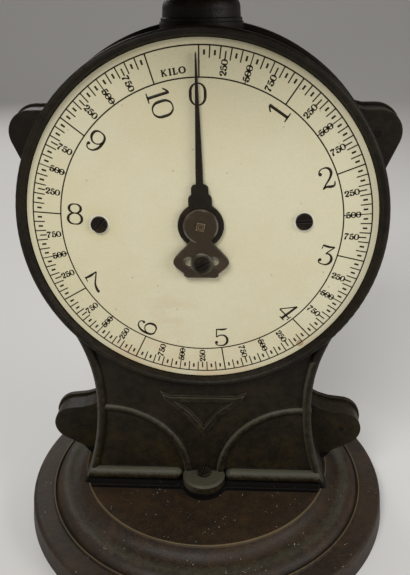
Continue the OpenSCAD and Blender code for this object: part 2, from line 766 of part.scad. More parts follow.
// Stay: a flat link that keeps the stem's foot from swinging
module stay_link() {
  slot = 1.6;
  ang = atan2(stay_rise, stay_run);
  color(steel) translate([stay_x, 0, stay_z]) rotate([0, -ang, 0]) difference() {
    upright(-stay_t / 2, stay_t / 2) {
      circle(5);
      translate([0, -3.4]) square([stay_len, 6.8]);
      translate([stay_len - slot, -5]) square([2 * slot, 10]);
      for (s = [-1, 1]) translate([stay_len + s * slot, 0]) circle(5);
    }
    upright(-10, 10) {
      circle(stay_pin_r + running);
      for (s = [-1, 1]) translate([stay_len + s * slot, 0]) circle(stay_pin_r + 0.3);
      translate([stay_len - slot, -stay_pin_r - 0.3]) square([2 * slot, 2 * stay_pin_r + 0.6]);
    }
  }
}

// Goods plate: a flat round plate with four ribs and a socket for the stem
module goods_plate() {
  boss_r_low = stem_r + 5;
  color(black) difference() {
    union() {
      translate([0, 0, goods_z]) rotate_extrude() {
        square([goods_r - goods_t / 2, goods_t]);
        translate([goods_r - goods_t / 2, goods_t / 2]) circle(goods_t / 2);
      }
      translate([0, 0, goods_boss_z]) rotate_extrude() difference() {
        polygon([[0, 0], [boss_r_low, 0], [boss_r_low, 1], [boss_r_low + 9, 6.5], [0, 6.5]]);
        translate([boss_r_low + 6.5, 1]) circle(5);
      }
      intersection() {
        for (a = [0, 90]) rotate([0, 0, a + 45]) translate([-goods_r + 14, -2, goods_z - 4]) cube([2 * goods_r - 28, 4, 5]);
        translate([0, 0, goods_z - 5]) cylinder(r1 = goods_r - 34, r2 = goods_r - 10, h = 6);
      }
    }
    translate([0, 0, goods_boss_z - 1]) cylinder(r = stem_r + 0.02, h = goods_z + 2 - goods_boss_z);
    translate([0, 0, goods_boss_z + 2.5]) rotate([0, 90, 90]) cylinder(r = 1.5, h = 60, center = true);
  }
}

module stem_pin() {
  half = stem_r + 5;
  color(steel) translate([0, 0, goods_boss_z + 2.5]) rotate([90, 0, 0]) cylinder(r = 1.48, h = 2 * half, center = true);
}

// Stem: a plain rod from the goods plate down through the collar to the fork
module load_stem() {
  color(steel) difference() {
    translate([0, 0, stem_low]) cylinder(r = stem_r, h = goods_z + 1 - stem_low);
    translate([0, 0, goods_boss_z + 2.5]) rotate([90, 0, 0]) cylinder(r = 1.5, h = 40, center = true);
    translate([0, 0, cross_z]) rotate([0, 90, 0]) cylinder(r = 1.5, h = 40, center = true);
  }
}

// Crosshead: the cast bar on the stem that pulls both springs and drives the rack
module crosshead() {
  color(dark_steel) translate([0, 0, cross_z - cross_t / 2]) difference() {
    union() {
      cylinder(r = stem_r + 5, h = cross_t);
      translate([-cross_half + 6, -5, 0]) cube([2 * cross_half - 12, 10, cross_t]);
      for (s = [-1, 1]) translate([s * (cross_half - 6), 0, 0]) cylinder(r = 6, h = cross_t);
      translate([stud_x - 4, -11, 1]) cube([8, 10, cross_t - 2]);
    }
    translate([0, 0, -1]) cylinder(r = stem_r + 0.02, h = cross_t + 2);
    for (s = [-1, 1]) translate([s * spring_x, 0, -1]) cylinder(r = 2.02, h = cross_t + 2);
    translate([0, 0, cross_t / 2]) rotate([0, 90, 0]) cylinder(r = 1.5, h = 2 * stem_r + 12, center = true);
    translate([stud_x, -12, cross_t / 2]) rotate([-90, 0, 0]) cylinder(r = 1.52, h = 8);
  }
}

module crosshead_pin() {
  color(steel) translate([0, 0, cross_z]) rotate([0, 90, 0]) cylinder(r = 1.48, h = 2 * stem_r + 10, center = true);
}

// Rack: its teeth drive the pinion's right-hand side
rack_low = dial_z - 3 * tooth_pitch;   // whole teeth below the axis, so a tooth's middle lies level with it
rack_n = ceil(travel / tooth_pitch) + 6;
rack_top = rack_low + rack_n * tooth_pitch;
rack_add = 0.75 * tooth_m;
rack_ded = 1.0 * tooth_m;
flank = tan(20);
// One rack tooth, from its root at x = 0 towards the pinion, its middle at z = 0
module rack_tooth() {
  half_pitch_line = tooth_pitch / 4 - backlash / 4;
  polygon([[0.2, half_pitch_line + flank * rack_ded], [0, half_pitch_line + flank * rack_ded],
           [-rack_add - rack_ded, half_pitch_line - flank * rack_add],
           [-rack_add - rack_ded, -half_pitch_line + flank * rack_add],
           [0, -half_pitch_line - flank * rack_ded], [0.2, -half_pitch_line - flank * rack_ded]]);
}

module rack() {
  root_x = pitch_r + rack_ded;
  back_x = root_x + 4.4;
  color(steel) difference() {
    upright(-pinion_f - rack_t / 2, -pinion_f + rack_t / 2) {
      translate([root_x, rack_low]) square([back_x - root_x, rack_top - rack_low + 2]);
      for (i = [0 : rack_n - 1]) translate([root_x, rack_low + (i + 1) * tooth_pitch]) rack_tooth();
      translate([root_x + 0.4, cross_z]) square([back_x - root_x - 0.4, rack_low - cross_z + 1]);
      translate([stud_x, cross_z]) circle(3.8);
    }
    rod_y(stud_x, cross_z, 1.5 + running, -40, 0);
  }
}

module rack_stud() {
  color(steel) {
    rod_y(stud_x, cross_z, 1.5, -pinion_f - rack_t / 2 - 1.6, -4.5);
    rod_y(stud_x, cross_z, 3, -pinion_f - rack_t / 2 - 1.6, -pinion_f - rack_t / 2 - 0.1);
    rod_y(stud_x, cross_z, 3, -pinion_f + rack_t / 2 + 0.1, -11);
  }
}

// Keeper: a leaf spring on the crosshead that holds the rack against the pinion
module rack_keeper() {
  leaf_x = pitch_r + rack_ded + 4.4;
  foot_x = stud_x + 4;
  color(brass_c) upright(-pinion_f - 1.5, -pinion_f + 1.5) {
    polygon([[foot_x, cross_z - 3], [foot_x + 1, cross_z - 3], [foot_x + 1, cross_z + 5],
             [leaf_x + 2.4, cross_z + 22], [leaf_x + 0.9, cross_z + 38], [leaf_x + 1.8, cross_z + 42],
             [leaf_x + 1.1, cross_z + 42.3], [leaf_x, cross_z + 38], [leaf_x + 1.6, cross_z + 22],
             [foot_x, cross_z + 5.2]]);
  }
  color(brass_c) upright(-pinion_f - 1.5, -5) translate([foot_x, cross_z - 3]) square([1, 6]);
}

// Fork on the stem's foot that holds the stay's free end
module stem_fork() {
  color(dark_steel) difference() {
    translate([0, 0, fork_z - 6]) cylinder(r = 8, h = 20);
    translate([0, 0, stem_low]) cylinder(r = stem_r + 0.02, h = 20);
    translate([-20, -cheek_in, fork_z - 20]) cube([40, 2 * cheek_in, 20 + stem_low - fork_z]);
    rod_y(0, fork_z, stay_pin_r + 0.02, -20, 20);
  }
}

module fork_pin() {
  color(steel) rod_y(0, fork_z, stay_pin_r, -8.6, 8.6);
}

// Pinion: involute teeth cut on the arbor's own brass blank
base_r = pitch_r * cos(20);
tip_r = pitch_r + 0.85 * tooth_m;
root_r = pitch_r - 0.95 * tooth_m;
function inv_angle(r) = let (c = base_r / max(r, base_r), a = acos(c)) tan(a) * 180 / PI - a;
half_tooth_deg = (tooth_pitch / 2 - backlash / 2) / 2 / pitch_r * 180 / PI;
function flank_point(t, side) =
  let (r = lerp(base_r, tip_r, t), a = half_tooth_deg + inv_angle(pitch_r) - inv_angle(r))
  [r * cos(side * a), r * sin(side * a)];
module pinion_outline() {
  circle(root_r);
  for (k = [0 : pinion_teeth - 1]) rotate((k + 0.5) * 360 / pinion_teeth) polygon(concat(
    [[root_r - 0.5, -1 * (half_tooth_deg + inv_angle(pitch_r)) * PI / 180 * root_r]],
    [for (t = [0 : 0.25 : 1]) flank_point(t, -1)],
    [for (t = [1 : -0.25 : 0]) flank_point(t, 1)],
    [[root_r - 0.5, (half_tooth_deg + inv_angle(pitch_r)) * PI / 180 * root_r]]));
}

module pinion() {
  color(brass_c) difference() {
    upright(-pinion_f - pinion_t / 2, -pinion_f + pinion_t / 2) translate([0, dial_z]) pinion_outline();
    rod_y(0, dial_z, arbor_r + 0.01, -40, 0);
  }
}

// Arbor: runs from the boss plate back through the dial and both bushes
module pinion_arbor() {
  front = boss_f + boss_plate_t;
  color(steel) {
    rod_y(0, dial_z, arbor_r, -front - eps, -bridge_f + 0.4);
    rod_y(0, dial_z, arbor_r + 1, -pinion_f - pinion_t / 2 - 0.9, -pinion_f - pinion_t / 2);
    rod_y(0, dial_z, arbor_r + 1, -boss_f, -seat_f - 0.2);
    translate([0, -front, dial_z]) rotate([90, 12, 0]) difference() {
      translate([-arbor_square, -arbor_square, 0]) cube([2 * arbor_square, 2 * arbor_square, 0.9]);
      translate([0, 0, 0.5]) cylinder(r = 1.1, h = 1);
    }
  }
}

// Boss plate: clamped on the arbor's front end, its slot lets the pointer be set to zero
module clamp_arc(r_in, r_out, half_deg) {
  n = 12;
  polygon(concat(
    [for (i = [0 : n]) let (a = -90 - half_deg + 2 * half_deg * i / n) r_out * [cos(a), sin(a)]],
    [for (i = [n : -1 : 0]) let (a = -90 - half_deg + 2 * half_deg * i / n) r_in * [cos(a), sin(a)]]));
}

module boss_plate() {
  slot_half = 2.7;
  front = boss_f + boss_plate_t;
  color([0.42, 0.35, 0.28]) difference() {
    union() {
      turned(0, dial_z) polygon([[0, boss_f], [boss_plate_r, boss_f], [boss_plate_r, front - 0.4],
                                 [boss_plate_r - 0.4, front], [0, front]]);
      upright(-front, -boss_f) translate([0, dial_z])
        polygon(mirrored([for (p = fan_outline) clamp_r * [p.x, -p.y]]));
    }
    upright(-front - 1, -boss_f + 1) translate([0, dial_z]) {
      clamp_arc(clamp_r - slot_half, clamp_r + slot_half, clamp_deg);
      for (s = [-1, 1]) rotate(s * clamp_deg) translate([0, -clamp_r]) circle(slot_half);
    }
    rod_y(0, dial_z, arbor_r + 0.01, -40, 0);
  }
}

// Turns the pointer and its clamp about the arbor to where they stand with the plate empty
module as_clamped() {
  translate([0, 0, dial_z]) rotate([0, -pointer_lean, 0]) translate([0, 0, -dial_z]) children();
}

// Pointer: a thin black needle with a ring round the arbor and a lug under the clamp screw
module pointer() {
  color(black) as_clamped() difference() {
    union() {
      upright(-boss_f, -pointer_f) translate([0, dial_z]) circle(pointer_ring_r);
      upright(-boss_f, -pointer_f) translate([0, dial_z])
        polygon([[-needle_w, 6], [-needle_w, 27], [-0.35, pointer_len - 1], [0, pointer_len],
                 [0.35, pointer_len - 1], [needle_w, 27], [needle_w, 6]]);
      upright(-boss_f, -pointer_f) translate([0, dial_z]) {
        translate([-5.9, 6]) square([11.8, 8]);
        both_sides() {
          translate([3.4, 13.8]) circle(2.5);
          translate([2.2, 19.2]) circle(2.1);
        }
        translate([-4.3, 14]) square([8.6, 5.2]);
        translate([-2.6, 18]) square([5.2, 3]);
      }
      upright(-boss_f, -pointer_f) translate([0, dial_z]) {
        polygon([[-5, -9], [-4.6, -clamp_r], [4.6, -clamp_r], [5, -9]]);
        translate([0, -clamp_r]) circle(5);
      }
    }
    rod_y(0, dial_z, arbor_r + 1 + running, -40, 0);
    rod_y(0, dial_z - clamp_r, 1.3, -40, 0);
  }
}

module clamp_washer() {
  front = boss_f + boss_plate_t;
  color(dark_steel) as_clamped() difference() {
    turned(0, dial_z - clamp_r) polygon([[0, front], [5.9, front], [5.9, front + 0.3], [4.4, front + 0.9], [0, front + 0.9]]);
    rod_y(0, dial_z - clamp_r, 1.4, -60, 0);
  }
}

module clamp_screw() {
  front = boss_f + boss_plate_t + 0.9;
  color(dark_steel) as_clamped() translate([0, -front, dial_z - clamp_r]) rotate([90, 0, 0]) rotate([0, 0, 28])
    screw(3.8, 1.6, 1.28, front - pointer_f);
}

base_foot();
case_front();
case_back();
case_screws();
base_screws();
dial_plate();
dial_screws();
stem_collar();
collar_nut();
movement_bridge();
bridge_screws();
front_bush();
rear_bush();
spring_hanger();
hanger_screws();
upper_spring_hooks();
spring_left();
spring_right();
stay_bracket();
bracket_screws();
stay_pin();
stay_link();
goods_plate();
load_stem();
stem_pin();
crosshead();
crosshead_pin();
lower_spring_hooks();
rack();
rack_stud();
rack_keeper();
stem_fork();
fork_pin();
pinion_arbor();
pinion();
boss_plate();
pointer();
clamp_screw();
clamp_washer();
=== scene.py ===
import math

import bmesh
import bpy
from bpy.props import FloatProperty, FloatVectorProperty, PointerProperty
from mathutils import Matrix, Vector


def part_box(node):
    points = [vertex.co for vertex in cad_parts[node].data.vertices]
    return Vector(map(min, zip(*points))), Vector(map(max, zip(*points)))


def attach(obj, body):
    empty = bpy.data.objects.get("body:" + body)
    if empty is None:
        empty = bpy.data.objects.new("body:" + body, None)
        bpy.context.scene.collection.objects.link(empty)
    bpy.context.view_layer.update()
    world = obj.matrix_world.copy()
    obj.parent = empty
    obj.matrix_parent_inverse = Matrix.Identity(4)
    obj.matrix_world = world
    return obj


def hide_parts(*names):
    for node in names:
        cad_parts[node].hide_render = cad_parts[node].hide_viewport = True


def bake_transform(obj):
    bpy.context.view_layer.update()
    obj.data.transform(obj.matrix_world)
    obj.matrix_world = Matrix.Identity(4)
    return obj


bl_info = {
    "name": "Spring dial kitchen scale",
    "version": (1, 0, 0),
    "blender": (4, 5, 0),
    "location": "3D View > Sidebar > Scale",
    "description": "Finishes and printed dial of a cast iron family scale",
    "category": "Object",
}

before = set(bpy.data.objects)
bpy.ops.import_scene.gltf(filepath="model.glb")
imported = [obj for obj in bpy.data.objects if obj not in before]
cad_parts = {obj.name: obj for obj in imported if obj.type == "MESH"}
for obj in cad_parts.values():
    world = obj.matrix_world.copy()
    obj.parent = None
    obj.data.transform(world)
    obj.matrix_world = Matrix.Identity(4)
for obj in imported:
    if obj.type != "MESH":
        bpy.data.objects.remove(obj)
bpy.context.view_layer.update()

MM = 0.001
DIAL_LOW, DIAL_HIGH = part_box("dial_plate")
DIAL_CENTRE = Vector((0, DIAL_LOW.y, (DIAL_LOW.z + DIAL_HIGH.z) / 2))

# Places for wear, tool marks, painted highlights and painted shade: pedestal front, top and edges of the
# foot, rim of the case, hub and clamp
PEDESTAL_Y = -26 * MM
FOOT_Z = 24 * MM
DISC_R = 76.7 * MM
FLANGE_R = 97.7 * MM
TORUS_R = 88 * MM
CASE_EDGE_R = 98.5 * MM
CASE_CLEAR_R = 100 * MM
HUB_RIM_R = 8.5 * MM
CLAMP_DROP = 20 * MM

# The printed scale: 10 kg in steps of 50 g, clockwise from the top
FULL_KG = 10
GRAMS_PER_KG = 1000
GRAMS_PER_MARK = 50
MARKS_PER_KG = GRAMS_PER_KG // GRAMS_PER_MARK
LABEL_GRAMS = (250, 500, 750)
DEG_PER_KG = 34.3
PRINT_T = 0.03 * MM

# Damage on the dial, as X and Z: a chip, a smear, and at each screw also the reach and strength of its stain
CHIP_AT = (53.2 * MM, 122.5 * MM)
SMEAR_AT = (-17 * MM, 141 * MM)
SCREW_STAINS = (
    (-52 * MM, DIAL_CENTRE.z, 13 * MM, 0.28),
    (52 * MM, DIAL_CENTRE.z + 2 * MM, 7.5 * MM, 0.1),
)


# Sizes and colours a user can change


class DialSizes(bpy.types.PropertyGroup):
    """Sizes of the printed scale."""

    outer_ring: FloatProperty(
        name="Outer ring", description="Radius of the outer printed ring", default=85.75 * MM, unit="LENGTH")
    inner_ring: FloatProperty(
        name="Inner ring", description="Radius of the inner printed ring", default=71.64 * MM, unit="LENGTH")
    line: FloatProperty(
        name="Line", description="Width of a printed line", default=0.68 * MM, unit="LENGTH")
    numeral_height: FloatProperty(
        name="Numerals", description="Height of the large numerals", default=10.9 * MM, unit="LENGTH")
    label_height: FloatProperty(
        name="Labels", description="Height of the small gram labels", default=3.0 * MM, unit="LENGTH")
    label_pitch: FloatProperty(
        name="Label pitch", description="Distance from figure to figure in a label",
        default=2.5 * MM, unit="LENGTH")
    label_radius: FloatProperty(
        name="Label circle", description="Distance of the labels from the centre",
        default=76.4 * MM, unit="LENGTH")


class FinishColours(bpy.types.PropertyGroup):
    """Colours of the finishes, as linear red, green and blue."""

    paint: FloatVectorProperty(
        name="Paint", description="Black-brown paint on the castings", default=(0.0062, 0.0043, 0.0022),
        subtype="COLOR", size=3, min=0, max=1)
    # Worn paint also colours the painted highlights on the pedestal's ridges and on the foot's torus
    worn_paint: FloatVectorProperty(
        name="Worn paint", description="Paint rubbed thin on the ridges", default=(0.06, 0.055, 0.037),
        subtype="COLOR", size=3, min=0, max=1)
    enamel: FloatVectorProperty(
        name="Enamel", description="Aged cream enamel of the dial", default=(0.62, 0.575, 0.405),
        subtype="COLOR", size=3, min=0, max=1)
    ink: FloatVectorProperty(
        name="Print", description="Fired black print on the dial", default=(0.016, 0.012, 0.006),
        subtype="COLOR", size=3, min=0, max=1)
    browned: FloatVectorProperty(
        name="Browned steel", description="Browned steel of the boss plate", default=(0.04, 0.027, 0.013),
        subtype="COLOR", size=3, min=0, max=1)
    bright: FloatVectorProperty(
        name="Bright steel", description="Drawn steel of the stem and springs", default=(0.47, 0.46, 0.43),
        subtype="COLOR", size=3, min=0, max=1)
    brass: FloatVectorProperty(
        name="Brass", description="Tarnished brass of the movement", default=(0.56, 0.37, 0.13),
        subtype="COLOR", size=3, min=0, max=1)


# Materials


# Sockets of a Mix node that mixes colours: factor, first and second colour, and its result
MIX_INPUTS = (0, 6, 7)
MIX_OUTPUT = 2


class Value:
    """One output in a material; arithmetic on it adds Math nodes."""

    def __init__(self, finish, socket):
        self.finish = finish
        self.socket = socket

    def math(self, operation, *others):
        return self.finish.node("ShaderNodeMath", {"operation": operation}, [self, *others])

    def __add__(self, other):
        return self.math("ADD", other)

    __radd__ = __add__

    def __sub__(self, other):
        return self.math("SUBTRACT", other)

    def __rsub__(self, other):
        return self.finish.node("ShaderNodeMath", {"operation": "SUBTRACT"}, [other, self])

    def __mul__(self, other):
        return self.math("MULTIPLY", other)

    __rmul__ = __mul__

    def __gt__(self, other):
        return self.math("GREATER_THAN", other)


class Finish:
    """A material being made: its nodes, its shader and the methods that add to it."""

    def __init__(self, name, metallic=0.0, roughness=0.5, coat=0.0, specular=0.5):
        self.material = bpy.data.materials.new(name)
        self.material.use_nodes = True
        self.tree = self.material.node_tree
        self.shader = self.tree.nodes["Principled BSDF"]
        self.shader.inputs["Metallic"].default_value = metallic
        self.shader.inputs["Roughness"].default_value = roughness
        self.shader.inputs["Coat Weight"].default_value = coat
        self.shader.inputs["Specular IOR Level"].default_value = specular
        self.place = self.node("ShaderNodeTexCoord", {}, {}, "Object")

    def node(self, kind, settings, values, output=0):
        """Adds a node with its settings and its inputs, by name or in order; returns one of its outputs."""
        made = self.tree.nodes.new(kind)
        for key, setting in settings.items():
            setattr(made, key, setting)
        pairs = values.items() if isinstance(values, dict) else enumerate(values)
        for key, value in pairs:
            if isinstance(value, Value):
                self.tree.links.new(value.socket, made.inputs[key])
            elif value is not None:
                made.inputs[key].default_value = value
        return Value(self, made.outputs[output])

    def noise(self, scale, detail=2.0, roughness=0.5, stretch=None):
        """Noise of one size over the piece, 0 to 1; stretch squeezes it along X, Y or Z."""
        place = self.place
        if stretch:
            place = self.node("ShaderNodeMapping", {}, {"Vector": place, "Scale": stretch})
        return self.node("ShaderNodeTexNoise", {}, {
            "Vector": place, "Scale": scale, "Detail": detail, "Roughness": roughness})

    def specks(self, scale, size, share):
        """Small round spots, 1 inside, on a share of the cells."""
        cell = self.node("ShaderNodeTexVoronoi", {}, {"Vector": self.place, "Scale": scale})
        colour = Value(self, cell.socket.node.outputs["Color"])
        chosen = self.node("ShaderNodeSeparateColor", {}, [colour]) > 1 - share
        near = self.band(cell, size, size * 0.6)
        return near * chosen

    def band(self, value, low, high):
        """0 at low and 1 at high, smooth between them, in either order."""
        return self.node("ShaderNodeMapRange", {"interpolation_type": "SMOOTHSTEP"}, {
            "Value": value, "From Min": low, "From Max": high})

    def mix(self, share, first, second):
        """Mixes two colours: the first at share 0, the second at share 1."""
        made = self.tree.nodes.new("ShaderNodeMix")
        made.data_type = "RGBA"
        factor, colour_a, colour_b = (made.inputs[index] for index in MIX_INPUTS)
        for socket, value in ((factor, share), (colour_a, first), (colour_b, second)):
            if isinstance(value, Value):
                self.tree.links.new(value.socket, socket)
            else:
                socket.default_value = value if isinstance(value, (int, float)) else (*value[:3], 1)
        return Value(self, made.outputs[MIX_OUTPUT])

    def edges(self, distance):
        """1 on the outward edges of the piece, 0 on its flat and hollow places."""
        inside = self.node("ShaderNodeAmbientOcclusion", {"inside": True, "only_local": True, "samples": 8}, {
            "Distance": distance}, "AO")
        return 1 - inside

    def hollows(self, distance):
        """1 in the inward corners, 0 in the open."""
        outside = self.node("ShaderNodeAmbientOcclusion", {"samples": 8}, {"Distance": distance}, "AO")
        return 1 - outside

    def along(self, axis):
        """Place on the piece along X, Y or Z."""
        return self.node("ShaderNodeSeparateXYZ", {}, [self.place], axis)

    def facing(self, axis):
        """1 where the surface faces along X, Y or Z, 0 where it faces sideways, -1 where it faces back."""
        normal = self.node("ShaderNodeNewGeometry", {}, {}, "Normal")
        return self.node("ShaderNodeSeparateXYZ", {}, [normal], axis)

    def near(self, x, z):
        """Distance from a line that runs along Y through a place."""
        flat = self.node("ShaderNodeVectorMath", {"operation": "MULTIPLY"}, [self.place, (1, 0, 1)])
        return self.node("ShaderNodeVectorMath", {"operation": "DISTANCE"}, [flat, (x, 0, z)], "Value")

    def bump(self, height, distance, strength=1.0, soften=None):
        """The surface's normal bumped by a height, on edges rounded by soften."""
        normal = None
        if soften:
            normal = self.node("ShaderNodeBevel", {"samples": 6}, {"Radius": soften})
        return self.node("ShaderNodeBump", {}, {
            "Strength": strength, "Distance": distance, "Height": height, "Normal": normal})

    def set(self, **links):
        """Links what changes over the surface to the shader."""
        names = {"colour": "Base Color", "roughness": "Roughness", "metallic": "Metallic", "normal": "Normal"}
        for key, value in links.items():
            self.tree.links.new(value.socket, self.shader.inputs[names[key]])
        return self.material


def colours():
    return bpy.context.scene.scale_colours


def sizes():
    return bpy.context.scene.scale_dial


def scaled(values, share):
    """Three values times one share, or each times its own."""
    shares = share if isinstance(share, tuple) else (share, share, share)
    return tuple(value * part for value, part in zip(values, shares))


# Colours of rust, dirt and wear on the castings, and of painted shade in their corners and under the low rib,
# as linear red, green and blue
RUST = (0.038, 0.025, 0.006)
GRIME = (0.024, 0.015, 0.006)
CORNER_SHADE_AND_DIRT = (0.0025, 0.0019, 0.0012)
RUBBED_EDGE = (0.12, 0.1, 0.06)
GOLD_BROWN = (0.16, 0.115, 0.05)
DEEP_SHADE = (0.0018, 0.0014, 0.001)
DUST = (0.5, 0.47, 0.4)


def painted_iron(name, soften, wear=1.0, specular=0.16, warmth=1.0, shine=0.32, wear_and_light_places=None):
    """Old black-brown paint on a casting: mottled, rubbed grey on its ridges with painted highlights, dark
    with painted shade and dirt in its corners.
    """
    f = Finish(name, specular=specular)
    paint = scaled(colours().paint, (warmth, (1 + warmth) / 2, 1))
    patches = f.noise(26, 4, 0.6)
    mottle = f.noise(240, 3, 0.65)
    grain = f.noise(1500, 2, 0.6)
    base = f.mix(f.band(mottle * 0.5 + patches * 0.5, 0.4, 0.62), paint, scaled(paint, 2.3))
    height = f.along("Z")
    rust = f.band(f.noise(70, 3, 0.7) * 0.4 + grain * 0.6, 0.49, 0.6) * f.band(height, 120 * MM, 30 * MM)
    base = f.mix(rust * 0.6, base, scaled(RUST, (warmth, 1, 1)))
    up = f.facing("Z")
    base = f.mix(f.band(up, 0.55, 0.95) * f.band(grain, 0.3, 0.7) * 0.3, base, GRIME)
    # Painted shade with dirt: the colour darkens in the corners and recesses, where shade falls
    corner_shade_and_dirt = f.band(f.hollows(9 * MM), 0.3, 0.75)
    base = f.mix(corner_shade_and_dirt * 0.8, base, CORNER_SHADE_AND_DIRT)
    arris = f.band(f.edges(1.1 * MM) + (grain - 0.5) * 0.3, 0.2, 0.5) * f.band(patches, 0.36, 0.56) * wear
    base = f.mix(arris * 0.35, base, RUBBED_EDGE)
    if wear_and_light_places:
        # The first mask is rubbed paint together with a painted highlight; the last is a painted shadow
        rubbed, golden, shadow = wear_and_light_places(f, up)
        thin = f.band(rubbed + (mottle - 0.5) * 0.5 + (grain - 0.5) * 0.6, 0.3, 0.95)
        base = f.mix(thin * 0.85, base, colours().worn_paint)
        base = f.mix(golden * (0.35 + patches * 0.5), base, GOLD_BROWN)
        # Painted shadow: near black under the pedestal's low rib, where the rib's shade falls
        base = f.mix(shadow * 0.95, base, DEEP_SHADE)
    on_foot = f.band(height, FOOT_Z + 3 * MM, FOOT_Z + 1 * MM) * f.band(up, 0.8, 0.95)
    dust = f.specks(900, 0.26, 0.05) * on_foot * f.band(f.noise(45, 2), 0.4, 0.62)
    base = f.mix(dust, base, DUST)
    rough = shine + patches * 0.12 + grain * 0.14 + corner_shade_and_dirt * 0.35 + dust * 0.3
    return f.set(colour=base, roughness=rough,
                 normal=f.bump(grain * 0.6 + mottle * 1.2, 0.4 * MM, 0.7, soften))


def worn_pedestal(f, up):
    """Where the pedestal's ridges are rubbed, with a painted highlight on their tops and left sides; no gold;
    a painted shadow at its foot.
    """
    place = f.along("Y")
    height = f.along("Z")
    below = f.band(f.near(0, DIAL_CENTRE.z), CASE_EDGE_R, CASE_CLEAR_R)
    proud = f.band(place, PEDESTAL_Y - 0.3 * MM, PEDESTAL_Y - 1.6 * MM) * below
    sideways = f.facing("X")
    # Painted highlight: ridges facing up and to the left are lighter, as if lit from the upper left; the rest
    # is rubbed paint
    rubbed_and_highlit = proud * (f.band(up, -0.2, 0.8) * 0.65 + f.band(sideways, -0.1, -0.8) * 0.45 + 0.3)
    # The third mask is a painted shadow under the low rib, at the foot of the pedestal
    return rubbed_and_highlit, proud * 0, f.band(height, FOOT_Z + 5.4 * MM, FOOT_Z + 3.6 * MM)


def worn_foot(f, up):
    """Where the foot is rubbed, on its boss, with a painted highlight round the top of its torus; the gold
    lines along its two edges; no shade.
    """
    height = f.along("Z")
    flat = f.node("ShaderNodeVectorMath", {"operation": "MULTIPLY"}, [f.place, (1, 1, 0)])
    across = f.node("ShaderNodeVectorMath", {"operation": "LENGTH"}, [flat], "Value")
    boss = f.band(height, FOOT_Z + 1.5 * MM, FOOT_Z + 4 * MM) * (f.edges(1.5 * MM) * 0.9 + 0.25)
    line = None
    for radius, width in ((DISC_R - 0.3 * MM, 0.6 * MM), (FLANGE_R, 0.4 * MM)):
        off = (across - radius).math("ABSOLUTE")
        ring = f.band(off, width, 0)
        line = line + ring if line else ring
    # Painted highlight: a broad sheen on the up-facing top of the torus
    crown_highlight = f.band((across - TORUS_R).math("ABSOLUTE"), 8 * MM, 0) * f.band(up, 0.1, 0.7) * 0.75
    return boss + crown_highlight, line * f.band(height, FOOT_Z + 1 * MM, FOOT_Z + 0.4 * MM), line * 0


# Colours of age on the dial, and a painted shade for its top; the first two are shares of the cream
YELLOWED = (0.95, 0.94, 0.87)
TOP_SHADE = (0.62, 0.6, 0.54)
HAZE = (0.36, 0.31, 0.2)
PINHOLE = (0.24, 0.19, 0.11)
LOW_STAIN = (0.56, 0.42, 0.25)
SMEAR = (0.52, 0.43, 0.26)
SCREW_STAIN = (0.5, 0.42, 0.16)
SCREW_RING = (0.75, 0.72, 0.6)
BARE_CHIP = (0.36, 0.25, 0.12)
DIAL_BACK = (0.035, 0.033, 0.03)


def enamel(name):
    """Cream vitreous enamel, yellowed and stained, with pinholes, rings round its screws, painted shade at
    its top and a dark back.
    """
    f = Finish(name, coat=0.25)
    f.shader.inputs["Coat Roughness"].default_value = 0.12
    cream = tuple(colours().enamel)
    cloud = f.noise(20, 4, 0.6)
    fine = f.noise(420, 3, 0.6)
    base = f.mix(f.band(cloud, 0.35, 0.7), cream, scaled(cream, YELLOWED))
    base = f.mix((fine - 0.45) * 0.22, base, HAZE)
    spots = f.specks(300, 0.2, 0.035)
    base = f.mix(spots * 0.45, base, PINHOLE)
    height = f.along("Z")
    # Painted shade: the enamel darkens towards the top, where the rim and the plate above would shade it
    top = f.band(height, DIAL_CENTRE.z + 10 * MM, DIAL_CENTRE.z + 90 * MM)
    base = f.mix(top * 0.4, base, scaled(cream, TOP_SHADE))
    low = f.band(height, DIAL_CENTRE.z - 50 * MM, DIAL_CENTRE.z - 80 * MM)
    base = f.mix(low * f.band(f.noise(34, 3, 0.6), 0.42, 0.64) * 0.6, base, LOW_STAIN)
    streaks = f.band(f.noise(60, 3, 0.6, stretch=(1, 1, 2.5)), 0.4, 0.62)
    smear = f.band(f.near(*SMEAR_AT), 20 * MM, 4 * MM) * streaks
    base = f.mix(smear * 0.4, base, SMEAR)
    for x, z, reach, strength in SCREW_STAINS:
        near = f.near(x, z)
        base = f.mix(f.band(near, reach, reach * 0.4) * cloud * strength, base, SCREW_STAIN)
        base = f.mix(f.band(near, 5.6 * MM, 5 * MM) * 0.7, base, SCREW_RING)
    chip = f.band(f.near(*CHIP_AT) + (fine - 0.5) * 1.2 * MM, 2.2 * MM, 1.7 * MM)
    base = f.mix(chip * 0.85, base, BARE_CHIP)
    base = f.mix(f.band(f.facing("Y"), 0.3, 0.8), base, DIAL_BACK)
    rough = 0.22 + fine * 0.12 + chip * 0.4
    normal = f.bump(f.noise(60, 2, 0.5) - chip * 2, 0.08 * MM, 0.35)
    return f.set(colour=base, roughness=rough, normal=normal)


# Colours of worn print, rusty steel and tarnished brass
BROWNED_INK = (0.07, 0.05, 0.022)
STEEL_RUST = (0.05, 0.027, 0.012)
TARNISH = (0.24, 0.14, 0.05)


def dial_ink(name):
    """Black print fired into the enamel, thinned to brown in places; made once."""
    if name in bpy.data.materials:
        return bpy.data.materials[name]
    f = Finish(name, roughness=0.35, specular=0.15)
    worn = f.band(f.noise(600, 3, 0.7), 0.5, 0.75)
    return f.set(colour=f.mix(worn * 0.35, colours().ink, BROWNED_INK))


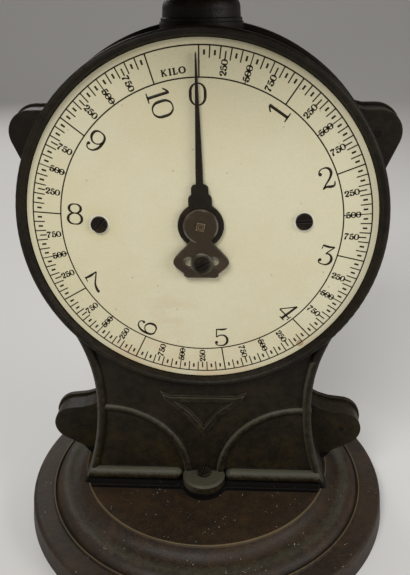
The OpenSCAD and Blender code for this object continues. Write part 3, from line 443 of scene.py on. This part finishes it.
def worked_steel(name, colour, rough, rust, rings=None, metallic=0.85, specular=0.5, gleam=0.5, rim=None):
    """Steel with fine tool marks; rings centres them on a point, and rim is the radius of a rubbed edge."""
    f = Finish(name, metallic=metallic, specular=specular)
    if rings:
        centred = f.node("ShaderNodeMapping", {}, {"Vector": f.place, "Location": scaled(rings, -1)})
        marks = f.node("ShaderNodeTexWave", {"wave_type": "RINGS", "rings_direction": "Y"}, {
            "Vector": centred, "Scale": 900, "Distortion": 1.2, "Detail": 2}, "Fac")
    else:
        marks = f.noise(500, 3, 0.6, stretch=(1, 1, 9))
    grime = f.band(f.noise(170, 4, 0.7), 0.42, 0.68)
    base = f.mix(grime * 0.6, colour, scaled(colour, 0.45))
    red = f.band(f.noise(90, 3, 0.7), 0.5, 0.72) * rust
    base = f.mix(red, base, STEEL_RUST)
    bright = f.band(f.edges(0.8 * MM), 0.2, 0.5) * f.band(f.noise(160, 2), 0.36, 0.56)
    if rim:
        off = (f.near(rings[0], rings[2]) - rim).math("ABSOLUTE")
        bright = bright + f.band(off, 0.7 * MM, 0) * f.band(f.noise(110, 2), 0.38, 0.6)
    base = f.mix(bright * gleam, base, tuple(min(1, c * 2.2 + 0.1) for c in colour))
    return f.set(colour=base, roughness=rough + grime * 0.2 + marks * 0.08,
                 metallic=metallic - red * 0.6 - grime * 0.25,
                 normal=f.bump(marks * 0.5 + f.noise(1200, 2), 0.03 * MM, 0.5, 0.15 * MM))


def brass(name):
    """Machined brass, dulled, with patches of darker tarnish."""
    f = Finish(name, metallic=1.0)
    tarnish = f.band(f.noise(120, 4, 0.7), 0.4, 0.7)
    marks = f.noise(900, 2, 0.5, stretch=(1, 1, 8))
    base = f.mix(tarnish * 0.7, colours().brass, TARNISH)
    return f.set(colour=base, roughness=0.24 + tarnish * 0.22 + marks * 0.08,
                 normal=f.bump(marks, 0.02 * MM, 0.4, 0.15 * MM))


NODE_FINISHES = {
    "cast_paint": ("case_front", "case_back", "stem_collar"),
    "foot_paint": ("base_foot",),
    "plate_paint": ("goods_plate",),
    "pointer_black": ("pointer",),
    "arbor_browned": ("pinion_arbor",),
    "dial_enamel": ("dial_plate",),
    "boss_browned": ("boss_plate",),
    "washer_steel": ("clamp_washer",),
    "screw_steel": ("clamp_screw", "dial_screws", "case_screws", "base_screws"),
    "bright_steel": ("load_stem", "stem_pin", "crosshead_pin", "rack", "rack_stud", "fork_pin",
                     "stay_pin", "stay_link", "upper_spring_hooks", "lower_spring_hooks", "spring_left",
                     "spring_right", "bridge_screws", "hanger_screws", "bracket_screws"),
    "dark_steel": ("crosshead", "spring_hanger", "stay_bracket", "stem_fork"),
    "movement_brass": ("movement_bridge", "front_bush", "rear_bush", "pinion", "collar_nut", "rack_keeper"),
}


def recipes():
    """The function and the settings that make each finish."""
    c = colours()
    hub = (0, 0, DIAL_CENTRE.z)
    clamp = (0, 0, DIAL_CENTRE.z - CLAMP_DROP)
    return {
        "cast_paint": (painted_iron, dict(soften=0.7 * MM, wear_and_light_places=worn_pedestal)),
        "foot_paint": (painted_iron, dict(soften=0.7 * MM, wear=0.8, specular=0.34, warmth=1.5, shine=0.42,
                                          wear_and_light_places=worn_foot)),
        "plate_paint": (painted_iron, dict(soften=0.5 * MM)),
        "pointer_black": (worked_steel, dict(colour=(0.012, 0.0085, 0.005), rough=0.35, rust=0.3,
                                             metallic=0, specular=0.15, gleam=0.2)),
        "dial_enamel": (enamel, {}),
        "boss_browned": (worked_steel, dict(colour=tuple(c.browned), rough=0.38, rust=0.6, rings=hub,
                                            metallic=0.6, gleam=0.8, rim=HUB_RIM_R)),
        "arbor_browned": (worked_steel, dict(colour=scaled(c.browned, 2), rough=0.4, rust=0.4, rings=hub,
                                             metallic=0.7, gleam=1)),
        "washer_steel": (worked_steel, dict(colour=(0.045, 0.038, 0.024), rough=0.34, rust=0.2, rings=clamp,
                                            metallic=0.7, gleam=0.45)),
        "screw_steel": (worked_steel, dict(colour=(0.009, 0.0065, 0.0045), rough=0.34, rust=0.5,
                                           metallic=0, specular=0.1, gleam=0.25)),
        "bright_steel": (worked_steel, dict(colour=tuple(c.bright), rough=0.28, rust=0.1)),
        "dark_steel": (worked_steel, dict(colour=(0.14, 0.115, 0.09), rough=0.45, rust=0.35)),
        "movement_brass": (brass, {}),
    }


class SCALE_OT_finishes(bpy.types.Operator):
    """Gives every carried-over part of the scale its finish"""

    bl_idname = "scale.finishes"
    bl_label = "Finishes"

    def execute(self, context):
        made = {name: make(name, **settings) for name, (make, settings) in recipes().items()}
        missing = set(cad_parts)
        for key, nodes in NODE_FINISHES.items():
            missing -= set(nodes)
            for name in nodes:
                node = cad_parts[name]
                for slot in node.material_slots:
                    slot.material = made[key]
                if not node.material_slots:
                    node.data.materials.append(made[key])
        if missing:
            raise RuntimeError(f"these parts have no finish: {sorted(missing)}")
        return {"FINISHED"}


# Building pieces


RING_SEGMENTS = 180


def new_piece(name, bm, material, body):
    """Turns a bmesh in the shared frame into a piece that rides on a body, if one is named."""
    mesh = bpy.data.meshes.new(name)
    bmesh.ops.recalc_face_normals(bm, faces=bm.faces)
    bm.to_mesh(mesh)
    bm.free()
    piece = bpy.data.objects.new(name, mesh)
    bpy.context.scene.collection.objects.link(piece)
    mesh.materials.append(material)
    if body:
        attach(piece, body)
    return piece


def verts_of(geometry):
    """The vertices among what a bmesh operation made."""
    return [g for g in geometry if isinstance(g, bmesh.types.BMVert)]


def curve_mesh(curve):
    """The mesh that a curve makes; the curve itself is removed."""
    holder = bpy.data.objects.new("curve", curve)
    bpy.context.scene.collection.objects.link(holder)
    bpy.context.view_layer.update()
    evaluated = holder.evaluated_get(bpy.context.evaluated_depsgraph_get())
    mesh = bpy.data.meshes.new_from_object(evaluated)
    bpy.data.objects.remove(holder)
    bpy.data.curves.remove(curve)
    return mesh


def onto_dial(turn_deg=0.0, at=(0.0, 0.0), spin_deg=0.0):
    """Matrix that lays a flat drawing, X right and Y up, on the dial's face: moved, then turned clockwise."""
    lay = Matrix.Translation(DIAL_CENTRE) @ Matrix.Rotation(math.pi / 2, 4, "X")
    turn = Matrix.Rotation(-math.radians(turn_deg), 4, "Z")
    return lay @ turn @ Matrix.Translation((*at, 0)) @ Matrix.Rotation(math.radians(spin_deg), 4, "Z")


def add_bar(bm, width, low, high, matrix):
    """A thin printed bar from low to high along Y."""
    size = Matrix.Diagonal((width, high - low, PRINT_T, 1))
    middle = Matrix.Translation((0, (low + high) / 2, PRINT_T / 2))
    bmesh.ops.create_cube(bm, size=1, matrix=matrix @ middle @ size)


def add_ring(bm, radius, width):
    """A thin printed ring round the dial's centre."""
    inner = bmesh.ops.create_circle(bm, segments=RING_SEGMENTS, radius=radius - width / 2)["verts"]
    edges = list({e for v in inner for e in v.link_edges})
    outer = bmesh.ops.create_circle(bm, segments=RING_SEGMENTS, radius=radius + width / 2)["verts"]
    edges += list({e for v in outer for e in v.link_edges})
    faces = bmesh.ops.bridge_loops(bm, edges=edges)["faces"]
    raised = verts_of(bmesh.ops.extrude_face_region(bm, geom=faces)["geom"])
    bmesh.ops.translate(bm, verts=raised, vec=(0, 0, PRINT_T))
    bmesh.ops.transform(bm, verts=[*inner, *outer, *raised], matrix=onto_dial())


# Numerals and letters as strokes, with x, y and half width at each point, and as round dots, with x, y
# and radius; all are shares of the figure's height
THIN, THICK = 0.026, 0.055
NUMERALS = {
    "0": ([[(0, 0.955, THIN), (0.24, 0.84, 0.04), (0.322, 0.5, THICK), (0.24, 0.16, 0.04), (0, 0.045, THIN),
            (-0.24, 0.16, 0.04), (-0.322, 0.5, THICK), (-0.24, 0.84, 0.04), (0, 0.955, THIN)]], []),
    "1": ([[(-0.2, 0.78, 0.03), (-0.06, 0.93, 0.03), (0.0, 0.985, 0.016)],
           [(0.02, 1.0, THICK), (0.02, 0.02, THICK)],
           [(-0.2, 0.025, 0.022), (0.02, 0.03, 0.032), (0.24, 0.025, 0.022)]], []),
    "2": ([[(-0.26, 0.75, 0.03), (-0.2, 0.9, THIN), (0.0, 0.97, THIN), (0.2, 0.9, 0.045),
            (0.275, 0.7, THICK), (0.15, 0.46, 0.042), (-0.12, 0.22, 0.03), (-0.29, 0.05, THIN)],
           [(-0.29, 0.05, THIN), (-0.12, 0.11, 0.045), (0.08, 0.055, THICK), (0.23, 0.06, 0.04),
            (0.32, 0.24, 0.02)]],
          [(-0.21, 0.75, 0.07)]),
    "3": ([[(-0.3, 0.76, 0.018), (-0.27, 0.98, 0.02)],
           [(-0.27, 0.955, 0.042), (0.02, 0.93, 0.046), (0.27, 0.97, 0.028)],
           [(0.27, 0.965, THIN), (-0.04, 0.59, THIN)],
           [(-0.06, 0.575, THIN), (0.15, 0.56, 0.04), (0.285, 0.32, THICK), (0.16, 0.075, 0.042),
            (-0.04, 0.028, THIN), (-0.26, 0.09, THIN), (-0.3, 0.2, THIN)]],
          [(-0.235, 0.215, 0.068)]),
    "4": ([[(0.14, 0.985, THIN), (-0.34, 0.31, THIN)],
           [(-0.35, 0.29, 0.03), (0.34, 0.29, 0.028)],
           [(0.34, 0.15, 0.02), (0.345, 0.42, 0.02)],
           [(0.13, 0.99, 0.046), (0.1, 0.02, THICK)],
           [(-0.05, 0.025, 0.022), (0.1, 0.03, 0.03), (0.25, 0.025, 0.022)]], []),
    "5": ([[(-0.24, 0.94, 0.022), (-0.02, 0.93, 0.045), (0.2, 0.96, 0.036), (0.29, 1.0, 0.014)],
           [(-0.24, 0.96, THIN), (-0.25, 0.5, THIN)],
           [(-0.25, 0.5, THIN), (-0.04, 0.61, 0.03), (0.19, 0.56, 0.042), (0.3, 0.32, THICK),
            (0.18, 0.08, 0.042), (-0.04, 0.026, THIN), (-0.25, 0.08, THIN), (-0.3, 0.18, THIN)]],
          [(-0.24, 0.2, 0.07)]),
    "6": ([[(0.25, 0.76, 0.03), (0.19, 0.91, THIN), (0.04, 0.965, THIN), (-0.19, 0.82, 0.042),
            (-0.3, 0.42, THICK), (-0.22, 0.1, 0.042), (0, 0.03, THIN), (0.22, 0.1, 0.042),
            (0.295, 0.3, THICK), (0.2, 0.52, 0.042), (0, 0.6, THIN), (-0.2, 0.5, THIN), (-0.28, 0.36, THIN)]],
          [(0.2, 0.75, 0.062)]),
    "7": ([[(-0.335, 0.73, 0.018), (-0.31, 1.0, 0.022)],
           [(-0.31, 0.935, 0.042), (0.0, 0.93, THICK), (0.325, 0.97, 0.02)],
           [(0.325, 0.965, THIN), (0.1, 0.68, 0.03), (-0.07, 0.46, 0.038), (-0.16, 0.2, THICK),
            (-0.17, 0.04, 0.06)]],
          [(-0.17, 0.045, 0.062)]),
    "8": ([[(0, 0.985, THIN), (0.2, 0.925, 0.04), (0.275, 0.76, THICK), (0.18, 0.6, 0.04), (0, 0.545, THIN),
            (-0.18, 0.6, 0.04), (-0.275, 0.76, THICK), (-0.2, 0.925, 0.04), (0, 0.985, THIN)],
           [(0, 0.545, THIN), (0.23, 0.47, 0.042), (0.325, 0.27, THICK), (0.23, 0.07, 0.042), (0, 0.01, THIN),
            (-0.23, 0.07, 0.042), (-0.325, 0.27, THICK), (-0.23, 0.47, 0.042), (0, 0.545, THIN)]], []),
    "K": ([[(-0.26, 1.0, 0.09), (-0.26, 0.0, 0.09)],
           [(-0.42, 0.95, 0.045), (-0.1, 0.95, 0.045)],
           [(-0.42, 0.05, 0.045), (-0.1, 0.05, 0.045)],
           [(0.28, 0.96, 0.05), (-0.2, 0.42, 0.05)],
           [(-0.06, 0.56, 0.08), (0.32, 0.04, 0.08)],
           [(0.12, 0.95, 0.045), (0.42, 0.95, 0.045)],
           [(0.14, 0.05, 0.045), (0.46, 0.05, 0.045)]], []),
    "I": ([[(0, 1.0, 0.1), (0, 0.0, 0.1)],
           [(-0.2, 0.95, 0.05), (0.2, 0.95, 0.05)],
           [(-0.2, 0.05, 0.05), (0.2, 0.05, 0.05)]], []),
    "L": ([[(-0.14, 1.0, 0.1), (-0.14, 0.0, 0.1)],
           [(-0.34, 0.95, 0.05), (0.06, 0.95, 0.05)],
           [(-0.34, 0.055, 0.055), (0.34, 0.055, 0.055)],
           [(0.33, 0.04, 0.045), (0.33, 0.36, 0.045)]], []),
    "O": ([[(0, 0.945, 0.055), (0.34, 0.8, 0.085), (0.42, 0.5, 0.11), (0.34, 0.2, 0.085), (0, 0.055, 0.055),
            (-0.34, 0.2, 0.085), (-0.42, 0.5, 0.11), (-0.34, 0.8, 0.085), (0, 0.945, 0.055)]], []),
}
NUMERALS["9"] = ([[(-x, 1 - y, w) for x, y, w in stroke] for stroke in NUMERALS["6"][0]],
                 [(-x, 1 - y, r) for x, y, r in NUMERALS["6"][1]])

# Where each sideways numeral stands: figure, its mark in kg, distance of its middle from the centre, how
# far it is moved along its own height, and how it is turned; then the upright ones with their X and Z
OUTWARD, INWARD = 90, -90
NUMERAL_PLACES = (
    ("1", 1, 67.1 * MM, 0.8 * MM, OUTWARD),
    ("2", 2, 66.2 * MM, 0.15 * MM, OUTWARD),
    ("3", 3, 66.2 * MM, -1.2 * MM, OUTWARD),
    ("4", 4, 66.4 * MM, 1.0 * MM, OUTWARD),
    ("6", 6, 66.25 * MM, 1.7 * MM, INWARD),
    ("7", 7, 65.0 * MM, 0.0, INWARD),
    ("8", 8, 64.4 * MM, 0.5 * MM, INWARD),
    ("9", 9, 65.9 * MM, 1.3 * MM, INWARD),
    ("1", 10, 66.7 * MM, 0.0, INWARD),
    ("0", 10, 60.0 * MM, 0.2 * MM, INWARD),
)
UPRIGHT_PLACES = (("0", -0.7 * MM, 64.0 * MM), ("5", 10.4 * MM, -64.4 * MM))

# The unit's letters: how far round they stand, how far out, and each letter's X
UNIT_TURN_DEG = -9.2
UNIT_RADIUS = 75.1 * MM
UNIT_LETTERS = (("K", -4.3 * MM), ("I", -1.4 * MM), ("L", 0.9 * MM), ("O", 4.3 * MM))

# How much wider the strokes are than drawn, and how finely they are bent
LARGE_WEIGHT, LARGE_STEPS = 1.15, 6
LABEL_WEIGHT, LABEL_STEPS = 2.7, 3
UNIT_WEIGHT, UNIT_STEPS = 1.5, 4

# A figure's dots stand this high, a little above its strokes, and what is lower than this lies on the dial
DOT_T = 1.1 * PRINT_T
NO_HEIGHT = 1e-7

# Widths of the marks as shares of the printed line, and where the short ones begin and end
HALF_KG_WIDTH = 0.75
HUNDRED_WIDTH = 0.9
FIFTY_WIDTH = 1.4
QUARTER_REACH = (80.2 * MM, 83.8 * MM)
HUNDRED_LOW = 80.1 * MM
FIFTY_REACH = (81.4 * MM, 83.7 * MM)


def ribbon(strokes, height, weight, steps):
    """A flat mesh of strokes whose width changes along them, made from Bezier curves."""
    curve = bpy.data.curves.new("stroke", "CURVE")
    curve.dimensions = "3D"
    curve.resolution_u = steps
    curve.twist_mode = "Z_UP"
    section = bpy.data.curves.new("section", "CURVE")
    section.dimensions = "2D"
    side = section.splines.new("POLY")
    side.points.add(3)
    for point, (x, y) in zip(side.points, ((-1, 0), (1, 0), (1, 1), (-1, 1))):
        point.co = (x * height, y * PRINT_T, 0, 1)
    side.use_cyclic_u = True
    profile = bpy.data.objects.new("section", section)
    bpy.context.scene.collection.objects.link(profile)
    curve.bevel_mode = "OBJECT"
    curve.bevel_object = profile
    curve.use_fill_caps = True
    for stroke in strokes:
        closed = stroke[0] == stroke[-1]
        points = stroke[:-1] if closed else stroke
        line = curve.splines.new("BEZIER")
        line.radius_interpolation = "CARDINAL"
        line.bezier_points.add(len(points) - 1)
        for point, (x, y, half) in zip(line.bezier_points, points):
            point.co = (x * height, y * height, 0)
            point.radius = half * weight
            point.handle_left_type = "AUTO"
            point.handle_right_type = "AUTO"
        line.use_cyclic_u = closed
    mesh = curve_mesh(curve)
    bpy.data.objects.remove(profile)
    bpy.data.curves.remove(section)
    return mesh


def numeral_mesh(figure, height, weight, steps):
    """One figure, its middle at X 0 and its foot at Y 0."""
    strokes, dots = NUMERALS[figure]
    mesh = ribbon(strokes, height, weight, steps)
    bm = bmesh.new()
    bm.from_mesh(mesh)
    for v in bm.verts:
        v.co.z = PRINT_T if v.co.z > NO_HEIGHT else 0
    for x, y, radius in dots:
        size = radius * weight * height
        disc = bmesh.ops.create_circle(bm, cap_ends=True, segments=4 * steps, radius=size)["verts"]
        raised = verts_of(bmesh.ops.extrude_face_region(bm, geom=list(disc[0].link_faces))["geom"])
        bmesh.ops.translate(bm, verts=raised, vec=(0, 0, DOT_T))
        bmesh.ops.translate(bm, verts=[*disc, *raised], vec=(x * height, y * height, 0))
    bm.to_mesh(mesh)
    bm.free()
    return mesh


def add_figure(bm, meshes, figure, height, matrix):
    """Puts one figure down with its middle on the matrix's place."""
    before = len(bm.verts)
    bm.from_mesh(meshes[figure])
    bm.verts.ensure_lookup_table()
    middle = Matrix.Translation((0, -height / 2, 0))
    bmesh.ops.transform(bm, verts=bm.verts[before:], matrix=matrix @ middle)


class SCALE_OT_dial_marks(bpy.types.Operator):
    """Prints the two rings and the 201 weight marks on the dial"""

    bl_idname = "scale.dial_marks"
    bl_label = "Dial marks"

    def execute(self, context):
        s = sizes()
        bm = bmesh.new()
        add_ring(bm, s.outer_ring, s.line)
        add_ring(bm, s.inner_ring, s.line)
        for step in range(FULL_KG * MARKS_PER_KG + 1):
            grams = step * GRAMS_PER_MARK % GRAMS_PER_KG
            turn = onto_dial(step / MARKS_PER_KG * DEG_PER_KG)
            if grams == 0:
                add_bar(bm, s.line, s.inner_ring, s.outer_ring, turn)
            elif grams == 500:
                add_bar(bm, s.line * HALF_KG_WIDTH, s.inner_ring, s.outer_ring, turn)
            elif grams in LABEL_GRAMS:
                add_bar(bm, s.line, *QUARTER_REACH, turn)
            elif grams % 100 == 0:
                add_bar(bm, s.line * HUNDRED_WIDTH, HUNDRED_LOW, s.outer_ring, turn)
            else:
                add_bar(bm, s.line * FIFTY_WIDTH, *FIFTY_REACH, turn)
        new_piece("dial_marks", bm, dial_ink("dial_ink"), "case")
        return {"FINISHED"}


class SCALE_OT_dial_numerals(bpy.types.Operator):
    """Prints the numerals 0 to 10, the gram labels and the unit on the dial"""

    bl_idname = "scale.dial_numerals"
    bl_label = "Dial numerals"

    def execute(self, context):
        s = sizes()
        ink = dial_ink("dial_ink")
        large = {figure: numeral_mesh(figure, s.numeral_height, LARGE_WEIGHT, LARGE_STEPS)
                 for figure in "0123456789"}
        bm = bmesh.new()
        for figure, kg, radius, rise, spin in NUMERAL_PLACES:
            place = onto_dial(kg * DEG_PER_KG, (0, radius), spin) @ Matrix.Translation((0, rise, 0))
            add_figure(bm, large, figure, s.numeral_height, place)
        for figure, x, z in UPRIGHT_PLACES:
            add_figure(bm, large, figure, s.numeral_height, onto_dial(0, (x, z)))
        new_piece("dial_numerals", bm, ink, "case")

        small = {figure: numeral_mesh(figure, s.label_height, LABEL_WEIGHT, LABEL_STEPS)
                 for figure in "0257"}
        small |= {letter: numeral_mesh(letter, s.label_height, UNIT_WEIGHT, UNIT_STEPS)
                  for letter, _ in UNIT_LETTERS}
        bm = bmesh.new()
        for kg in range(FULL_KG):
            for grams in LABEL_GRAMS:
                angle = (kg + grams / GRAMS_PER_KG) * DEG_PER_KG
                spin = OUTWARD if angle < 180 else INWARD
                for index, figure in enumerate(str(grams)):
                    along = Matrix.Translation(((index - 1) * s.label_pitch, 0, 0))
                    place = onto_dial(angle, (0, s.label_radius), spin) @ along
                    add_figure(bm, small, figure, s.label_height, place)
        for letter, x in UNIT_LETTERS:
            add_figure(bm, small, letter, s.label_height, onto_dial(UNIT_TURN_DEG, (x, UNIT_RADIUS)))
        new_piece("dial_labels", bm, ink, "case")
        for mesh in [*large.values(), *small.values()]:
            bpy.data.meshes.remove(mesh)
        return {"FINISHED"}


# The springs: turns between their hooks, sizes, how far the hooks go round, and how finely the wire is bent
SPRING_COILS = 16
SPRING_R = 7.4 * MM
WIRE_R = 1.1 * MM
HOOK_R = 4 * MM
HOOK_RISE = 4 * MM
HOOK_LEAD_DEG = 270
HOOK_FROM_DEG = -65
HOOK_ROUND_DEG = 288
RING_STEPS = 24
HOOK_STEPS = 18
WIRE_ROUNDNESS = 2
WELD = 0.01 * MM


def hook_path():
    """From the end of the last coil in to the middle and round the open hook, heights above that coil."""
    path = []
    for step in range(1, HOOK_STEPS + 1):
        share = step / HOOK_STEPS
        angle = math.radians(HOOK_LEAD_DEG * share)
        r = SPRING_R * (1 - share)
        path.append((r * math.cos(angle), r * math.sin(angle), HOOK_RISE * share))
    for step in range(HOOK_STEPS + 1):
        angle = math.radians(HOOK_FROM_DEG + HOOK_ROUND_DEG * step / HOOK_STEPS)
        path.append((0, HOOK_R * math.cos(angle), HOOK_RISE + HOOK_R + HOOK_R * math.sin(angle)))
    return path


def spring_path(x, low, high):
    """The middle of the spring's wire, from the lower hook through the coils to the upper one."""
    hook = hook_path()
    path = [(x + px, -py, low - pz) for px, py, pz in reversed(hook)]
    steps = SPRING_COILS * RING_STEPS
    for step in range(steps + 1):
        angle = 2 * math.pi * step / RING_STEPS
        z = low + (high - low) * step / steps
        path.append((x + SPRING_R * math.cos(angle), SPRING_R * math.sin(angle), z))
    path += [(x + px, py, high + pz) for px, py, pz in hook]
    return path


class SCALE_OT_springs(bpy.types.Operator):
    """Winds the two round wire springs in place of the carried-over ones; the real springs stretch as the
    load goes down, these coils stay fixed
    """

    bl_idname = "scale.springs"
    bl_label = "Springs"

    def execute(self, context):
        end_height = HOOK_RISE + 2 * HOOK_R + WIRE_R
        for node in ("spring_left", "spring_right"):
            box_low, box_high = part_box(node)
            x = (box_low.x + box_high.x) / 2
            low, high = box_low.z + end_height, box_high.z - end_height
            curve = bpy.data.curves.new(node, "CURVE")
            curve.dimensions = "3D"
            curve.bevel_depth = WIRE_R
            curve.bevel_resolution = WIRE_ROUNDNESS
            curve.use_fill_caps = True
            path = spring_path(x, low, high)
            line = curve.splines.new("POLY")
            line.points.add(len(path) - 1)
            for point, at in zip(line.points, path):
                point.co = (*at, 1)
            mesh = curve_mesh(curve)
            bm = bmesh.new()
            bm.from_mesh(mesh)
            bpy.data.meshes.remove(mesh)
            bmesh.ops.remove_doubles(bm, verts=bm.verts, dist=WELD)
            for face in bm.faces:
                face.smooth = True
            piece = new_piece("coil_" + node, bm, bpy.data.materials["bright_steel"], None)
            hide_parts(node)
            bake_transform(piece)
        return {"FINISHED"}


# Stage, in metres, watts and degrees


FLOOR_HALF = 3
SWEEP_RISE = 3
SWEEP_BEND = 1.2
SWEEP_SEGMENTS = 16
FLOOR_COLOUR = (0.6, 0.59, 0.57, 1)
ROOM_COLOUR = (1.0, 0.97, 0.92, 1)
ROOM_STRENGTH = 0.24
BACKDROP_COLOUR = (0.62, 0.61, 0.59, 1)

# Each lamp's name, place, size and power
LAMPS = (
    ("key_lamp", (-0.4, -1.1, 1.4), (0.9, 0.6), 20.5),
    ("fill_lamp", (1.2, -0.6, 0.6), (0.6, 0.4), 7.5),
    ("top_lamp", (0.1, 0.5, 1.5), (1.0, 0.6), 5),
    ("back_lamp", (-0.7, 1.3, 0.9), (0.8, 0.6), 5),
)
LAMPS_AIM = (0, 0, 0.15)

# The photograph's camera: its place, how far it turns right, tips down and rolls, and its lens
CAMERA_AT = (0.01805, -0.3356, 0.2927)
CAMERA_TURNS_DEG = (-3.03, 23.98, -0.63)
LENS_MM = 39.98
SENSOR_MM = 36
NEAREST = 0.01


def add_floor(scene):
    """A pale paper floor that bends up behind the scale."""
    bm = bmesh.new()
    bmesh.ops.create_grid(bm, x_segments=1, y_segments=1, size=FLOOR_HALF)
    back = [e for e in bm.edges if all(v.co.y > 0 for v in e.verts)]
    risen = verts_of(bmesh.ops.extrude_edge_only(bm, edges=back)["geom"])
    bmesh.ops.translate(bm, verts=risen, vec=(0, 0, SWEEP_RISE))
    bend = [e for e in bm.edges if all(v.co.y > 0 and v.co.z < SWEEP_RISE / 2 for v in e.verts)]
    bmesh.ops.bevel(
        bm, geom=bend, offset=SWEEP_BEND, affect="EDGES", segments=SWEEP_SEGMENTS, profile=0.5, material=-1)
    mesh = bpy.data.meshes.new("floor")
    bm.to_mesh(mesh)
    bm.free()
    floor = bpy.data.objects.new("floor", mesh)
    scene.collection.objects.link(floor)
    paper = Finish("floor_paper", roughness=0.9, specular=0.1)
    paper.shader.inputs["Base Color"].default_value = FLOOR_COLOUR
    mesh.materials.append(paper.material)
    for polygon in mesh.polygons:
        polygon.use_smooth = True


def add_room(scene):
    """Even light from all round, and a pale backdrop that only the camera sees."""
    world = bpy.data.worlds.new("soft_room")
    scene.world = world
    world.use_nodes = True
    tree = world.node_tree
    room = tree.nodes["Background"]
    room.inputs["Color"].default_value = ROOM_COLOUR
    room.inputs["Strength"].default_value = ROOM_STRENGTH
    backdrop = tree.nodes.new("ShaderNodeBackground")
    backdrop.inputs["Color"].default_value = BACKDROP_COLOUR
    seen = tree.nodes.new("ShaderNodeLightPath")
    either = tree.nodes.new("ShaderNodeMixShader")
    tree.links.new(seen.outputs["Is Camera Ray"], either.inputs[0])
    tree.links.new(room.outputs[0], either.inputs[1])
    tree.links.new(backdrop.outputs[0], either.inputs[2])
    tree.links.new(either.outputs[0], tree.nodes["World Output"].inputs["Surface"])


def add_lamp(scene, name, at, size, power):
    """A soft rectangular lamp aimed at the scale."""
    light = bpy.data.lights.new(name, "AREA")
    light.shape = "RECTANGLE"
    light.size, light.size_y = size
    light.energy = power
    lamp = bpy.data.objects.new(name, light)
    scene.collection.objects.link(lamp)
    lamp.location = at
    lamp.rotation_euler = (Vector(LAMPS_AIM) - Vector(at)).to_track_quat("-Z", "Y").to_euler()


def add_camera(scene):
    """The camera, where the photograph was taken from."""
    lens = bpy.data.cameras.new("camera")
    lens.lens = LENS_MM
    lens.sensor_width = SENSOR_MM
    lens.clip_start = NEAREST
    camera = bpy.data.objects.new("camera", lens)
    scene.collection.objects.link(camera)
    yaw, pitch, roll = (math.radians(turn) for turn in CAMERA_TURNS_DEG)
    ahead = Vector((math.sin(yaw) * math.cos(pitch), math.cos(yaw) * math.cos(pitch), -math.sin(pitch)))
    right = Vector((math.cos(yaw), -math.sin(yaw), 0))
    up = right.cross(ahead)
    rolled_right = right * math.cos(roll) + up * math.sin(roll)
    rolled_up = up * math.cos(roll) - right * math.sin(roll)
    axes = Matrix((rolled_right, rolled_up, -ahead)).transposed().to_4x4()
    camera.matrix_world = Matrix.Translation(CAMERA_AT) @ axes
    scene.camera = camera


class SCALE_OT_stage(bpy.types.Operator):
    """Sets the floor, the lamps and the camera"""

    bl_idname = "scale.stage"
    bl_label = "Stage"

    def execute(self, context):
        scene = context.scene
        add_floor(scene)
        add_room(scene)
        for lamp in LAMPS:
            add_lamp(scene, *lamp)
        scene.view_settings.view_transform = "Standard"
        add_camera(scene)
        return {"FINISHED"}


class SCALE_PT_panel(bpy.types.Panel):
    """Lists the steps that dress the scale"""

    bl_label = "Scale"
    bl_idname = "SCALE_PT_panel"
    bl_space_type = "VIEW_3D"
    bl_region_type = "UI"
    bl_category = "Scale"

    def draw(self, context):
        for step in STEPS:
            self.layout.operator(step.bl_idname)
        for group in (sizes(), colours()):
            for name in group.bl_rna.properties.keys():
                if name not in ("rna_type", "name"):
                    self.layout.prop(group, name)


STEPS = (SCALE_OT_stage, SCALE_OT_finishes, SCALE_OT_dial_marks, SCALE_OT_dial_numerals, SCALE_OT_springs)
CLASSES = (DialSizes, FinishColours, *STEPS, SCALE_PT_panel)


def register():
    for cls in CLASSES:
        bpy.utils.register_class(cls)
    bpy.types.Scene.scale_dial = PointerProperty(type=DialSizes)
    bpy.types.Scene.scale_colours = PointerProperty(type=FinishColours)


def unregister():
    del bpy.types.Scene.scale_colours
    del bpy.types.Scene.scale_dial
    for cls in reversed(CLASSES):
        bpy.utils.unregister_class(cls)


def main():
    register()
    bpy.ops.scale.stage()
    bpy.ops.scale.finishes()
    bpy.ops.scale.dial_marks()
    bpy.ops.scale.dial_numerals()
    bpy.ops.scale.springs()


if __name__ == "__main__":
    main()
